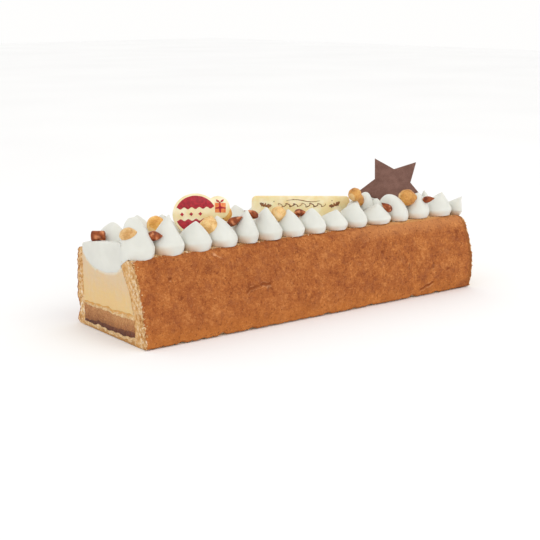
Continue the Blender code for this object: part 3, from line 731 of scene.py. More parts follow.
def ridge_at(x, z):
    """Height share of the puckered fold under the rim."""
    nearest = 1e9
    for start, finish in zip(RIDGE, RIDGE[1:]):
        ax, az = start[0] * MM, start[1] * MM
        dx, dz = finish[0] * MM - ax, finish[1] * MM - az
        share = min(1, max(0, ((x - ax) * dx + (z - az) * dz) / (dx * dx + dz * dz)))
        nearest = min(nearest, math.hypot(x - ax - share * dx, z - az - share * dz))
    return math.exp(-(nearest / (RIDGE_WIDTH / 2)) ** 2)


def flake_at(x, z):
    """A chip of skin that has lifted off the crust, broad above and thin below."""
    ax, az, bx, bz = FLAKE
    dx, dz = bx - ax, bz - az
    share = min(1, max(0, ((x / MM - ax) * dx + (z / MM - az) * dz) / (dx * dx + dz * dz)))
    width = FLAKE_WIDTH[0] + (FLAKE_WIDTH[1] - FLAKE_WIDTH[0]) * min(1, share * 2)
    gap = math.hypot(x / MM - ax - share * dx, z / MM - az - share * dz)
    return math.exp(-(gap / width) ** 2)


def pale_and_highlight_at(x, z):
    """Share of the pale colour: the flake's pale skin, and painted highlight along the fold and
    on the edges above and below a tear.
    """
    # Painted highlight on the edges above and below a tear
    tear_highlight = 0.45 * pit_at(x, z - 1.6 * MM) + 0.55 * pit_at(x, z + 1.5 * MM)
    patchy = 0.5 + 1.4 * wobble(x, 0, z, 9 * MM, 21)
    return max(0.95 * flake_at(x, z), 0.42 * ridge_at(x, z) * max(0, patchy), tear_highlight)


def shade_at(x, z):
    total = 0
    for centre_x, centre_z, reach, strength in SHADES:
        gap = ((x / MM - centre_x) ** 2 + 1.3 * (z / MM - centre_z) ** 2) / reach ** 2
        if gap < 4:
            total += strength * math.exp(-gap)
    return total


NO_MARKS = {"pit": 0, "pale": 0, "shade": 0}


def crust_marks(x, z):
    return {"pit": pit_at(x, z), "pale": pale_and_highlight_at(x, z), "shade": shade_at(x, z)}


def rim_rough(x, ragged_seed, wave_seed):
    wave = abs(noise.noise(Vector((x / RIM_WAVE, wave_seed, 0))))
    return RIM_RAGGED * wobble(x, 0, 0, RIM_RAGGED_SIZE, ragged_seed) - RIM_RELIEF * wave


def end_slump(x):
    """How far the rim of the near wall has sunk towards the far end."""
    return END_SLUMP * math.exp(-(HALF_LENGTH - x) / SLUMP_REACH)


def near_rim(x):
    end_drop = END_DROP * math.exp(-(x + HALF_LENGTH) / END_DROP_REACH) + end_slump(x)
    return WALL_HEIGHT - end_drop + rim_rough(x, 41, 3)


def foot_gap(x, seed):
    """How high the torn lower edge of the crust stands above the ground."""
    return FOOT_LIFT + sum(height * max(0, wobble(x, 0, 0, size, seed + shift) - least)
                           for height, size, shift, least in FOOT_TEARS)


def near_face(x, z):
    share = z / WALL_HEIGHT
    face = NEAR_BASE + blend(NEAR_FLARE, x) * share
    face += crease(x, z) - relief(x, z, 0) - 4 * blend(NEAR_BULGE, x) * share * (1 - share)
    return (face + PIT_DEPTH * pit_at(x, z) - RIDGE_HEIGHT * ridge_at(x, z)
            - FLAKE_HEIGHT * flake_at(x, z))


def near_inner(z):
    """Inner face of the near wall, with the roughness of its crumb."""
    rough = wobbles(0, 0, z, (RAGGED, 2.4 * MM, 60), (0.5 * RAGGED, 1.1 * MM, 70))
    return float(np.interp(z, NEAR_INNER_Z, NEAR_INNER_Y)) + rough


def far_inner(z):
    return FAR_INNER + wobbles(0, 0, z, (RAGGED, 2.4 * MM, 64), (0.5 * RAGGED, 1.1 * MM, 74))


def rounding(distance, radius):
    """Inset of a rounded corner at a distance from its edge."""
    if distance >= radius:
        return 0
    share = 1 - distance / radius
    return radius * (1 - math.sqrt(max(0, 1 - share * share)))


def crumble(x, z, depth, size, seed):
    """How far the corner of the crust has crumbled near an end."""
    share = max(0, abs(x) - HALF_LENGTH + CRUMBLE_REACH) / CRUMBLE_REACH
    return share * depth * wobble(x, 0, z, size, seed)


def wall_point(x, outer, inner, z, t):
    y = outer + (inner - outer) * t
    return Vector((end_relief(x, y, z, *WALL_CUT), y + SECTION_SHIFT, z))


def near_wall_place(x, s, t):
    rim = near_rim(x)
    corner = blend(NEAR_RIM_ROUND, x)
    foot = foot_gap(x, 11) * max(0, 1 - t / 0.3)
    z = foot + s * (rim - foot)
    y = near_face(x, z) + rounding(rim - z, corner) + rounding(z - foot, FOOT_ROUND)
    y += crumble(x, z, *NEAR_CRUMBLE)
    inner = near_inner(min(z, WALL_HEIGHT - MM)) - SEAM
    point = wall_point(x, y, inner, z, t)
    if s == 1:
        point.z += RIM_TOP_ROUGH * wobble(x, point.y, 0, 2.2 * MM, 17) * min(1, t / 0.1)
    if t > 0:
        return point, {"depth": t * (inner - y) / MM, **NO_MARKS}
    from_end = (HALF_LENGTH - abs(x)) / MM
    depth = max(0, 1.3 - 0.9 * from_end + 1.8 * wobble(x, 0, z, 2.4 * MM, 77))
    return point, {"depth": depth, **crust_marks(x, z)}


def far_wall_place(x, s, t):
    rim = FAR_WALL_HEIGHT + rim_rough(x, 47, 9)
    foot = foot_gap(x, 29) * max(0, 1 - t / 0.3)
    z = foot + s * (rim - foot)
    share = z / FAR_WALL_HEIGHT
    y = FAR_BASE - FAR_FLARE * share + 4 * blend(FAR_BULGE, x) * share * (1 - share)
    y += relief(x, z, 20) - rounding(rim - z, FAR_RIM_ROUND) - rounding(z - foot, FOOT_ROUND)
    y += crumble(x, z, *FAR_CRUMBLE)
    height, reach_up, reach_along, torn = TORN
    near_cut = math.exp(-(x + HALF_LENGTH) / reach_along)
    y -= torn * near_cut * math.exp(-((z - height) / reach_up) ** 2)
    y += TORN_ROUGH * near_cut * wobble(x, 0, z, 5.0 * MM, 99)
    inner = far_inner(z) + SEAM
    return wall_point(x, y, inner, z, t), {"depth": t * (y - inner) / MM, **NO_MARKS}


def make_walls(crust):
    across = [0, 0.03, 0.07, 0.12, 0.19, 0.28, 0.38, 0.5, 0.62, 0.74, 0.86, 0.94, 1]
    for name, place in (("sponge_near", near_wall_place), ("sponge_far", far_wall_place)):
        count = 400 if name == "sponge_near" else 300
        points, faces, readings = lattice(along(count, 2), steps(76), across, place)
        make_piece(f"crust_{name}", points, faces, crust, (name,),
                   sharp=60, readings=readings)


def boundary(values, y):
    """Height of a layer boundary: the solids' curve with a ragged edge."""
    wave = LAYER_WAVE * math.sin(y / WAVE_LENGTH)
    wave += BOUNDARY_SWELL * wobble(0, y, values[0] * 3, SWELL_LENGTH, 45)
    rough = wobbles(0, y, values[0], (RAGGED, 2.6 * MM, 31), (0.5 * RAGGED, 1.0 * MM, 37))
    return float(np.interp(y, LAYER_Y, values)) + wave + rough


def bowl(y):
    """Height of the hollow in the mousse that the cream fills."""
    middle = (BED_NEAR + BED_FAR) / 2
    share = abs(y - middle) / ((BED_FAR - BED_NEAR) / 2)
    smear = wobbles(0, y, 0, (0.7 * MM, 7 * MM, 51), (0.2 * MM, 1.8 * MM, 53))
    rim = BOWL_RIM[0] if y < middle else BOWL_RIM[1]
    return BOWL_FLOOR + (rim - BOWL_FLOOR) * min(1, share) ** BOWL_POWER + smear


def make_layer(node, low, high, finish, relief_depth, relief_size, rows):
    """A layer through the log, from wall to wall, between two boundary curves."""
    near_low = near_inner(low(LAYER_Y[0]))
    near_high = near_inner(high(LAYER_Y[0]))

    def place(x, s, t):
        y_low = near_low + (FAR_INNER - near_low) * s
        y_high = near_high + (FAR_INNER - near_high) * s
        z_low = low(y_low) + SEAM
        z = z_low + (high(y_high) - z_low) * t
        y = y_low + (y_high - y_low) * t
        straight = near_low + (near_high - near_low) * t
        edge = low(near_low) + (high(near_high) - low(near_low)) * t
        window = math.sin(math.pi * t) ** 0.5 if 0 < t < 1 else 0
        y += (1 - s) * window * (near_inner(edge) - straight) + SEAM * (1 - 2 * s)
        return Vector((end_relief(x, y, z, relief_depth, relief_size), y + SECTION_SHIFT, z)), {
            "rise": t}

    points, faces, readings = lattice(along(8, 1), steps(120), steps(rows), place)
    make_piece(f"cut_{node}", points, faces, finish, (node,), readings=readings)


def make_layers(finishes):
    """The layers from the ground up: node, slot, then depth, size and rows of the cut."""
    kinds = (("base_sponge", "pale_sponge", 0.8 * MM, 1.6 * MM, 7),
             ("chocolate_layer", "dark_chocolate", 0.5 * MM, 2.0 * MM, 6),
             ("praline_mousse", "praline_mousse", 0.5 * MM, 3.0 * MM, 14),
             ("divider_sponge", "pale_sponge", 0.8 * MM, 1.4 * MM, 4),
             ("vanilla_mousse", "vanilla_mousse", 0.4 * MM, 5.0 * MM, 60))
    curves = [lambda y: 0.0]
    curves += [lambda y, values=values: boundary(values, y)
               for values in (BASE_TOP, CHOCOLATE_TOP, PRALINE_TOP, DIVIDER_TOP)]
    curves.append(lambda y: bowl(y) - SEAM)
    for finish, kind, low, high in zip(finishes, kinds, curves, curves[1:]):
        node, slot, relief_depth, relief_size, rows = kind
        make_layer(node, low, high, finish, relief_depth, relief_size, rows)


def topping_mounds():
    """Where the cream is drawn up under the nuts and the chips: place and top."""
    sizes = [(*nut[:3], nut[3]) for nut in NUTS] + [(*chip[:3], chip[4]) for chip in CHIPS]
    return [(x * MM, y * MM, (z - MOUND_DEPTH * size) * MM) for x, y, z, size in sizes]


def bed_top(x, y, mounds):
    """Top of the cream bed: low under the drops, raised and lumpy between the rows."""
    near = min(1, max(0, (y - CHANNEL_NEAR + CHANNEL_SLOPE) / CHANNEL_SLOPE))
    far = min(1, max(0, (CHANNEL_FAR + CHANNEL_SLOPE - y) / CHANNEL_SLOPE))
    lumps = wobbles(x, y, 0, (0.6 * MM, 9 * MM, 5), (0.25 * MM, 3 * MM, 6))
    height = CHANNEL_TOP + lumps
    for centre_x, centre_y, top in mounds:
        reach = ((x - centre_x) ** 2 + (y - centre_y) ** 2) / MOUND_REACH ** 2
        height = max(height, CHANNEL_TOP + (top - CHANNEL_TOP) * math.exp(-reach))
    height = BED_TOP + (height - BED_TOP) * min(near, far)
    end = min(1, max(0, (END_REACH + END_BLEND - x) / (2 * END_BLEND)))
    if end:
        raised = float(np.interp(y, END_TOP_Y, END_TOP_Z)) + 0.6 * lumps
        height += (raised - height) * end
    return height


def make_bed(cream):
    mounds = topping_mounds()

    def place(x, s, t):
        y = BED_NEAR + (BED_FAR - BED_NEAR) * s
        low = bowl(y)
        high = bed_top(x, y, mounds)
        z = low + (high - low) * t
        return Vector((end_relief(x, y, z, 0.25 * MM, 6 * MM), y + SECTION_SHIFT, z)), {}

    points, faces, _ = lattice(along(220, 1), steps(56), steps(14), place)
    make_piece("whipped_bed", points, faces, cream, ("cream_bed",), sharp=70)


def drop_radius(share, taper, blunt):
    """Radius of a drop from its foot to its tip, as a share of the widest."""
    if share < DROP_WAIST:
        return DROP_FOOT + (1 - DROP_FOOT) * math.sin(math.pi / 2 * share / DROP_WAIST)
    climb = (share - DROP_WAIST) / (1 - DROP_WAIST)
    pointed = 1 - climb ** taper
    return pointed + (math.sqrt(max(0, 1 - climb ** DOME_POWER)) - pointed) * blunt


def squeeze(offset, limit):
    """Press an offset softly against a neighbour."""
    soft = DROP_SOFT * limit
    if offset <= soft:
        return offset
    return soft + (limit - soft) * math.tanh((offset - soft) / (limit - soft))


def slice_ends(points, faces):
    """Slice off what lies beyond the two end planes and close the cut."""
    mesh_edit = bmesh.new()
    verts = [mesh_edit.verts.new(point) for point in points]
    for face in faces:
        mesh_edit.faces.new([verts[corner] for corner in face])
    for side in (-1, 1):
        geometry = mesh_edit.verts[:] + mesh_edit.edges[:] + mesh_edit.faces[:]
        cut = bmesh.ops.bisect_plane(mesh_edit, geom=geometry, clear_outer=True, dist=1e-7,
                                     plane_co=(side * (HALF_LENGTH - FLUSH), 0, 0),
                                     plane_no=(side, 0, 0))
        rim = [item for item in cut["geom_cut"] if isinstance(item, bmesh.types.BMEdge)]
        if rim:
            bmesh.ops.edgeloop_fill(mesh_edit, edges=rim)
    mesh_edit.verts.index_update()
    points = [vert.co.copy() for vert in mesh_edit.verts]
    faces = [tuple(vert.index for vert in face.verts) for face in mesh_edit.faces]
    mesh_edit.free()
    return points, faces


def piped_drop(name, nodes, left, width, row_y, inward, tip, form, seed, cream):
    """A piped drop of cream with a drawn-up tip, pressed against its neighbours."""
    centre = left + width / 2
    lean_x, lean_y, height = [value * MM for value in tip]
    taper, blunt, front, back = form
    taper = taper or float(np.interp(height, DROP_HEIGHTS, DROP_TAPER))
    foot = BED_TOP + DROP_LIFT
    if nodes and inward > 0:
        foot -= 0.9 * end_slump(centre)
    limit = width / 2 - SEAM / 2
    first = left <= -HALF_LENGTH + MM
    last = left + width >= HALF_LENGTH - MM
    hook = DROP_HOOK * math.sin(seed)
    points = []
    faces = []
    for ring in range(DROP_RINGS):
        share = 1 - (1 - ring / DROP_RINGS) ** RING_EASE
        radius = drop_radius(share, taper, blunt)
        bend = share ** DROP_BEND
        sag = float(np.interp(centre, DROOP_PLACES, DROP_DROOP))
        sag *= max(0, 1 - share / DROOP_SHARE)
        for side in range(DROP_SIDES):
            angle = 2 * math.pi * side / DROP_SIDES
            across, deep = math.cos(angle) * radius, math.sin(angle) * radius
            spot = (across * LUMP_PITCH, deep * LUMP_PITCH, share * 2 * LUMP_PITCH)
            lump = 1 + wobbles(*spot, *[(depth, size, seed + shift)
                                        for depth, size, shift in DROP_LUMPS])
            if first and across < 0:
                across *= radius ** -0.65
            dx = across * width / 2 * DROP_SQUASH * lump
            if dx < 0 and not first:
                dx = -squeeze(-dx, limit)
            elif dx > 0 and not last:
                dx = squeeze(dx, limit)
            outward = max(0, -math.sin(angle) * inward)
            reach = front if outward else back
            sink = sag * min(1, 1.5 * outward)
            if first:
                sink += (END_SINK * max(0, 1 - share / SINK_SHARE)
                         * min(1, max(0, 0.55 + 1.5 * deep)))
            y = row_y + lean_y * bend + deep * reach * lump + SECTION_SHIFT
            x = (centre + dx + lean_x * bend
                 + hook * max(0, share - HOOK_START) / (1 - HOOK_START))
            points.append(Vector((x, y, foot + share * height - sink)))
    top = len(points)
    points.append(Vector((centre + lean_x + hook, row_y + lean_y + SECTION_SHIFT, foot + height)))
    under = top + 1
    points.append(Vector((centre, row_y + SECTION_SHIFT, foot)))
    for ring in range(DROP_RINGS):
        for side in range(DROP_SIDES):
            after = (side + 1) % DROP_SIDES
            low, low_after = ring * DROP_SIDES + side, ring * DROP_SIDES + after
            if ring == 0:
                faces.append((under, low_after, low))
            if ring == DROP_RINGS - 1:
                faces.append((low, low_after, top))
            else:
                faces.append((low, low_after, low_after + DROP_SIDES, low + DROP_SIDES))
    points, faces = slice_ends(points, faces)
    # Share of painted warm reflection of the crust: low on the drop, towards its left side, none
    # on the first drop
    warm = []
    for point in points:
        low = max(0, 1 - (point.z - foot) / (REFLECTION_SHARE * height))
        before = max(0, (centre - point.x) / (width / 2))
        warm.append(0.0 if first else min(1, low * before * REFLECTION_STRENGTH))
    make_piece(name, points, faces, cream, nodes, sharp=60,
               readings={"warm": warm})


def make_rows(cream):
    rows = (("near", NEAR_ROW_START, NEAR_ROW_Y, 1, NEAR_WIDTHS, NEAR_TIPS, NEAR_FORMS),
            ("far", FAR_ROW_START, FAR_ROW_Y, -1, FAR_WIDTHS, FAR_TIPS, FAR_FORMS))
    for label, left, row_y, inward, widths, tips, forms in rows:
        for index, (width, tip) in enumerate(zip(widths, tips)):
            middle = min(HALF_LENGTH, left + width * MM / 2)
            taper, blunt, front = forms.get(index, (0, TIP_ROUND, 1))
            piped_drop(f"piped_{label}_{index + 1:02d}",
                       (f"cream_drop_{label}_{index + 1:02d}",),
                       left, width * MM, blend(row_y, middle), inward, tip,
                       (taper, blunt, front * DROP_FRONT, DROP_BACK),
                       index * 1.7 + (40 if inward < 0 else 0), cream)
            left += width * MM
    for index, (left, width, row_y, height, blunt) in enumerate(CURLS):
        piped_drop(f"cream_curl_{index + 1}", (), left * MM, width * MM, row_y * MM, 1,
                   (0, 0, height), (CURL_TAPER, blunt, CURL_REACH, CURL_REACH), 70 + index,
                   cream)


def turned(profile, sides):
    """Points and faces of a turned form whose profile runs from tip to tip."""
    points = [Vector((0, 0, profile[0][1]))]
    faces = []
    for radius, height in profile[1:-1]:
        for side in range(sides):
            angle = 2 * math.pi * side / sides
            points.append(Vector((radius * math.cos(angle), radius * math.sin(angle), height)))
    points.append(Vector((0, 0, profile[-1][1])))
    rings = len(profile) - 2
    for side in range(sides):
        after = (side + 1) % sides
        faces.append((0, 1 + after, 1 + side))
        last = 1 + (rings - 1) * sides
        faces.append((last + side, last + after, len(points) - 1))
        for ring in range(rings - 1):
            low = 1 + ring * sides
            faces.append((low + side, low + after, low + after + sides, low + side + sides))
    return points, faces


def topping_matrix(x, y, z, turn, tip):
    return (Matrix.Translation((x * MM, y * MM + SECTION_SHIFT, z * MM))
            @ Matrix.Rotation(math.radians(turn), 4, "Z")
            @ Matrix.Rotation(math.radians(tip), 4, "Y"))


def make_nuts(finishes):
    nib_length, nib_start, nib_reach = NUT_NIB
    for index, (x, y, z, width, turn, tip) in enumerate(NUTS):
        chance = random.Random(100 + index)
        radius = width * MM / 2
        profile = []
        for ring in range(NUT_RINGS + 1):
            angle = math.pi * ring / NUT_RINGS
            height = -math.cos(angle) * NUT_LENGTH
            narrow = 1 - (1 - NUT_TAPER) * max(0, height) ** 2
            nib = nib_length * max(0, height - nib_start) / nib_reach
            profile.append((math.sin(angle) * narrow * radius, (height + nib) * radius))
        points, faces = turned(profile, NUT_SIDES)
        flats = []
        for _ in range(NUT_FLATS):
            direction = Vector([chance.gauss(0, 1) for _ in range(3)]).normalized()
            flats.append((direction, radius * chance.uniform(*NUT_FLAT_REACH)))
        scars = []
        for point in points:
            for direction, reach in flats:
                over = point.dot(direction) - reach
                if over > 0:
                    point -= direction * over * NUT_PRESS
            ribs = RIB_DEPTH * math.sin(NUT_RIBS * math.atan2(point.y, point.x))
            shift = Vector((index * 3, 0, 0))
            point *= 1 + ribs + NUT_ROUGH * noise.noise(point / NUT_ROUGH_SIZE + shift)
            scars.append(1.0 if point.z < -radius * SCAR_START else 0.0)
        frame_at = topping_matrix(x, y, z, turn, 90 - tip)
        flat = Matrix.Diagonal((1, 1, HALF_NUTS.get(index, 1), 1))
        lift = Matrix.Translation((0, 0, z * MM))
        frame_at = lift @ flat @ lift.inverted() @ frame_at
        points = [frame_at @ point for point in points]
        make_piece(f"roasted_nut_{index + 1:02d}", points, faces,
                   finishes[NUT_TONES[index]], (f"hazelnut_{index + 1:02d}",),
                   sharp=80, readings={"scar": scars})


def make_chips(finish):
    for index, (x, y, z, length, height, turn, tip) in enumerate(CHIPS):
        chance = random.Random(300 + index)
        stations = BLOCK_CHIP if index == 0 else POINTED_CHIP
        profile = [(0, -length / 2 * MM)]
        profile += [(radius * height / 2 * MM, (share - 0.5) * length * MM)
                    for share, radius in stations]
        profile.append((0, length / 2 * MM))
        points, faces = turned(profile, CHIP_SIDES)
        flats = [(Vector([chance.gauss(0, 1) for _ in range(3)]).normalized(),
                  chance.uniform(*CHIP_FLAT_REACH) * height / 2 * MM) for _ in range(CHIP_FLATS)]
        for point in points:
            for direction, reach in flats:
                over = point.x * direction.x + point.y * direction.y - reach
                if over > 0:
                    point.x -= direction.x * over * CHIP_PRESS
                    point.y -= direction.y * over * CHIP_PRESS
            shift = Vector((index * 5, 0, 0))
            point *= 1 + CHIP_ROUGH * noise.noise(point / CHIP_ROUGH_SIZE + shift)
        # Painted glints: pale spots of highlight where the noise runs high
        gain, least = GLINT_GAIN
        painted_glints = []
        for point in points:
            glow = noise.noise(point / GLINT_SIZE + Vector((index * 7, 3, 0)))
            painted_glints.append(min(1, max(0, gain * glow - least)))
        frame_at = topping_matrix(x, y, z, turn, 90 + tip)
        points = [frame_at @ point for point in points]
        make_piece(f"glossy_chip_{index + 1:02d}", points, faces, finish,
                   (f"chocolate_chip_{index + 1:02d}",), sharp=70,
                   readings={"crest": painted_glints})


def upright_frame(centre, yaw, lean, roll):
    """Matrix for a plate drawn in XZ that faces -Y, rolled, leaned back and turned."""
    return (Matrix.Translation(Vector(centre) + Vector((0, SECTION_SHIFT, 0)))
            @ Matrix.Rotation(math.radians(yaw), 4, "Z")
            @ Matrix.Rotation(math.radians(-lean), 4, "X")
            @ Matrix.Rotation(math.radians(-roll), 4, "Y"))


def slab(outline, back, front, edge):
    """Points and faces of a flat slab in XZ with a softened edge on both faces."""
    middle = Vector((sum(x for x, _ in outline), sum(z for _, z in outline))) / len(outline)
    rings = []
    for depth, inset in ((back, edge), (back - edge * 0.35, edge * 0.3), (back - edge, 0),
                         (front + edge, 0), (front + edge * 0.35, edge * 0.3), (front, edge)):
        ring = []
        count = len(outline)
        for index, (x, z) in enumerate(outline):
            before = Vector(outline[index - 1])
            after = Vector(outline[(index + 1) % count])
            here = Vector((x, z))
            tangent = ((here - before).normalized() + (after - here).normalized())
            inward = Vector((-tangent.y, tangent.x))
            inward = inward.normalized() if inward.length > 1e-9 else middle - here
            corner = max(0.45, (here - before).normalized().dot(tangent.normalized()))
            ring.append((here + inward * inset / corner, depth))
        rings.append(ring)
    points = [Vector((spot.x, depth, spot.y)) for ring in rings for spot, depth in ring]
    count = len(outline)
    faces = []
    for row in range(len(rings) - 1):
        for index in range(count):
            after = (index + 1) % count
            faces.append((row * count + index, row * count + after,
                          (row + 1) * count + after, (row + 1) * count + index))
    faces.append(tuple(range(count)))
    faces.append(tuple(range((len(rings) - 1) * count, len(rings) * count)))
    return points, faces


def anticlockwise(outline):
    area = sum(a[0] * b[1] - b[0] * a[1] for a, b in zip(outline, outline[1:] + outline[:1]))
    return outline if area > 0 else outline[::-1]


def make_plate(name, node, outline, thickness, edge, frame_at, finish):
    points, faces = slab(anticlockwise(outline), thickness / 2, -thickness / 2, edge)
    points = [frame_at @ point for point in points]
    make_piece(name, points, faces, finish, (node,), sharp=40)


def make_prints(name, shapes, thickness, frame_at, finish):
    """Join printed shapes that lie on the front of a plaque."""
    front = -thickness / 2
    points, faces = join(slab(anticlockwise(outline), front + PRINT_SUNK,
                              front - PRINT_THICKNESS, PRINT_EDGE) for outline in shapes)
    points = [frame_at @ point for point in points]
    make_piece(name, points, faces, finish, sharp=40)


def star_outline():
    points = []
    for step in range(10):
        angle = math.radians(90 + 36 + 36 * step)
        radius = STAR_RADIUS if step % 2 == 0 else STAR_RADIUS * STAR_WAIST
        points.append((radius * math.cos(angle), radius * math.sin(angle)))
    return points


def oblong_outline(width, height, corner, count=7):
    points = []
    for quarter in range(4):
        start = math.pi / 2 * quarter
        middle = start + math.pi / 4
        corner_x = math.copysign(width / 2 - corner, math.cos(middle))
        corner_z = math.copysign(height / 2 - corner, math.sin(middle))
        for step in range(count + 1):
            angle = start + math.pi / 2 * step / count
            points.append((corner_x + corner * math.cos(angle),
                           corner_z + corner * math.sin(angle)))
    return points


def festive_outline():
    """A round bauble with a round lobe at its side."""
    points = []
    for step in range(96):
        angle = 2 * math.pi * step / 96
        line = Vector((math.cos(angle), math.sin(angle)))
        reach = 1 / math.hypot(line.x / BAUBLE_SIZE[0], line.y / BAUBLE_SIZE[1])
        lobe = Vector(LOBE_OFFSET)
        forward = lobe.dot(line)
        aside = lobe.length_squared - forward * forward
        if forward > 0 and aside < LOBE_RADIUS ** 2:
            reach = max(reach, forward + math.sqrt(LOBE_RADIUS ** 2 - aside))
        points.append(tuple(line * reach))
    return points


def stroke(path, width):
    """Outline of a drawn line that thins towards both ends."""
    left = []
    right = []
    for index, here in enumerate(path):
        before = Vector(path[max(0, index - 1)])
        after = Vector(path[min(len(path) - 1, index + 1)])
        side = (after - before).normalized()
        share = index / (len(path) - 1)
        half = width / 2 * (0.35 + 0.65 * math.sin(math.pi * share))
        left.append((here[0] - side.y * half, here[1] + side.x * half))
        right.append((here[0] + side.y * half, here[1] - side.x * half))
    return left + right[::-1]


def sprig(x, z, size, turn):
    """Two pointed leaves with a short bud between them, as one small ornament."""
    shapes = []
    for lean, share_of_size in ((-68, 1.0), (72, 0.92), (4, 0.5)):
        angle = math.radians(turn + lean + 90)
        length = size * share_of_size
        outline = []
        for step in range(13):
            share = step / 12
            notch = 1 - 0.25 * math.cos(6 * math.pi * share)
            outline.append((share * length, 0.25 * length * math.sin(math.pi * share) * notch))
        outline += [(share, -half) for share, half in outline[-2:0:-1]]
        cos, sin = math.cos(angle), math.sin(angle)
        shapes.append([(x + px * cos - pz * sin, z + px * sin + pz * cos) for px, pz in outline])
    return shapes


def dot(x, z, radius, count=14):
    return [(x + radius * math.cos(2 * math.pi * step / count),
             z + radius * math.sin(2 * math.pi * step / count)) for step in range(count)]


def message_shapes():
    """Scrolling flourish between two sprigs, with a few dots."""
    shapes = sprig(-32.8 * MM, 5.0 * MM, 6.0 * MM, -14)
    shapes += sprig(29.6 * MM, 5.2 * MM, 6.0 * MM, 16)
    for start, finish, height in ((-22, 0, 1.5), (-1, 22, 1.7)):
        path = []
        for share in steps(60):
            along_line = start + (finish - start) * share + 0.8 * math.cos(13 * math.pi * share)
            curl = height * math.sin(6.5 * math.pi * share) * (1 - 0.35 * share)
            path.append((along_line * MM, (6.0 + curl) * MM))
        shapes.append(stroke(path, 0.75 * MM))
    path = [((-14 + 30 * share) * MM, (9.6 + 0.9 * math.sin(2 * math.pi * share)) * MM)
            for share in steps(20)]
    shapes.append(stroke(path, 0.6 * MM))
    shapes += [dot(x * MM, z * MM, 0.42 * MM)
               for x, z in ((-25, 9), (-8, 10.6), (26, 6), (27, 9.6))]
    return shapes


def bauble_band(low, high, wave):
    """Region of the bauble between two heights, with a scalloped edge towards its middle."""
    half_width, half_height = BAUBLE_SIZE[0] - BAND_INSET, BAUBLE_SIZE[1] - BAND_INSET
    edge = low if abs(low) < abs(high) else high
    rim = high if edge == low else low
    reach = half_width * math.sqrt(1 - (edge / half_height) ** 2)
    start = math.atan2(edge / half_height, reach / half_width)
    finish = math.pi - start if rim > edge else -math.pi - start
    points = []
    for share in steps(30):
        angle = start + (finish - start) * share
        points.append((half_width * math.cos(angle), half_height * math.sin(angle)))
    for share in steps(30)[1:-1]:
        scallop = wave * math.sin(5 * math.pi * share) ** 2
        points.append((-reach + 2 * reach * share, edge + scallop))
    return points


def parcel_points(*offsets):
    """Points given in millimetres from the middle of the parcel."""
    return [(PARCEL_AT[0] + x * MM, PARCEL_AT[1] + z * MM) for x, z in offsets]


def make_plaques(white, finishes):
    brown, red, orange, crimson = finishes
    message_at = upright_frame(*MESSAGE_PLACE)
    make_plate("white_message_plaque", "message_plaque",
               oblong_outline(MESSAGE_SIZE[0], MESSAGE_SIZE[1], MESSAGE_CORNER),
               MESSAGE_SIZE[2], PLAQUE_EDGE, message_at, white)
    make_prints("message_flourish", message_shapes(), MESSAGE_SIZE[2], message_at, brown)
    festive_at = upright_frame(*FESTIVE_PLACE)
    make_plate("white_festive_plaque", "festive_plaque", festive_outline(), FESTIVE_THICKNESS,
               PLAQUE_EDGE, festive_at, white)
    bands = [bauble_band(5.5 * MM, 15 * MM, -BAND_WAVE),
             bauble_band(-15 * MM, -5.0 * MM, BAND_WAVE)]
    bands += [dot(x * MM, 0.2 * MM, 1.5 * MM, 4) for x in (-10.5, -3.5, 3.5)]
    make_prints("bauble_bands", bands, FESTIVE_THICKNESS, festive_at, red)
    parcel = parcel_points((-4.2, -3.8), (4.0, -4.2), (4.4, 3.2), (-3.8, 3.6))
    make_prints("parcel_print", [parcel], FESTIVE_THICKNESS, festive_at, orange)
    ribbon = [stroke(parcel_points((-0.2, -4.2), (-0.2, 0), (-0.2, 4.2)), 2.0 * MM),
              stroke(parcel_points((-4.0, -0.6), (0, 0), (4.2, -0.8)), 1.8 * MM)]
    for side in (-1, 1):
        ribbon.append(parcel_points((side * 0.2, 3.6), (side * 2.6, 4.6), (side * 3.0, 6.2),
                                    (side * 0.8, 5.2)))
    make_prints("parcel_ribbon", ribbon, FESTIVE_THICKNESS + 2 * PRINT_THICKNESS, festive_at,
                crimson)


def crumb_points(centre, size, chance):
    """A small torn crumb round a centre."""
    mesh_edit = bmesh.new()
    bmesh.ops.create_icosphere(mesh_edit, subdivisions=1, radius=1)
    shift = Vector((chance.uniform(0, 50), 0, 0))
    scale = Vector((chance.uniform(0.7, 1.3), chance.uniform(0.6, 1.1), chance.uniform(0.5, 1.0)))
    points = []
    for vert in mesh_edit.verts:
        rough = 1 + 0.5 * noise.noise(vert.co * 1.3 + shift)
        points.append(centre + vert.co * scale * size * rough)
    faces = [tuple(vert.index for vert in face.verts) for face in mesh_edit.faces]
    mesh_edit.free()
    return points, faces


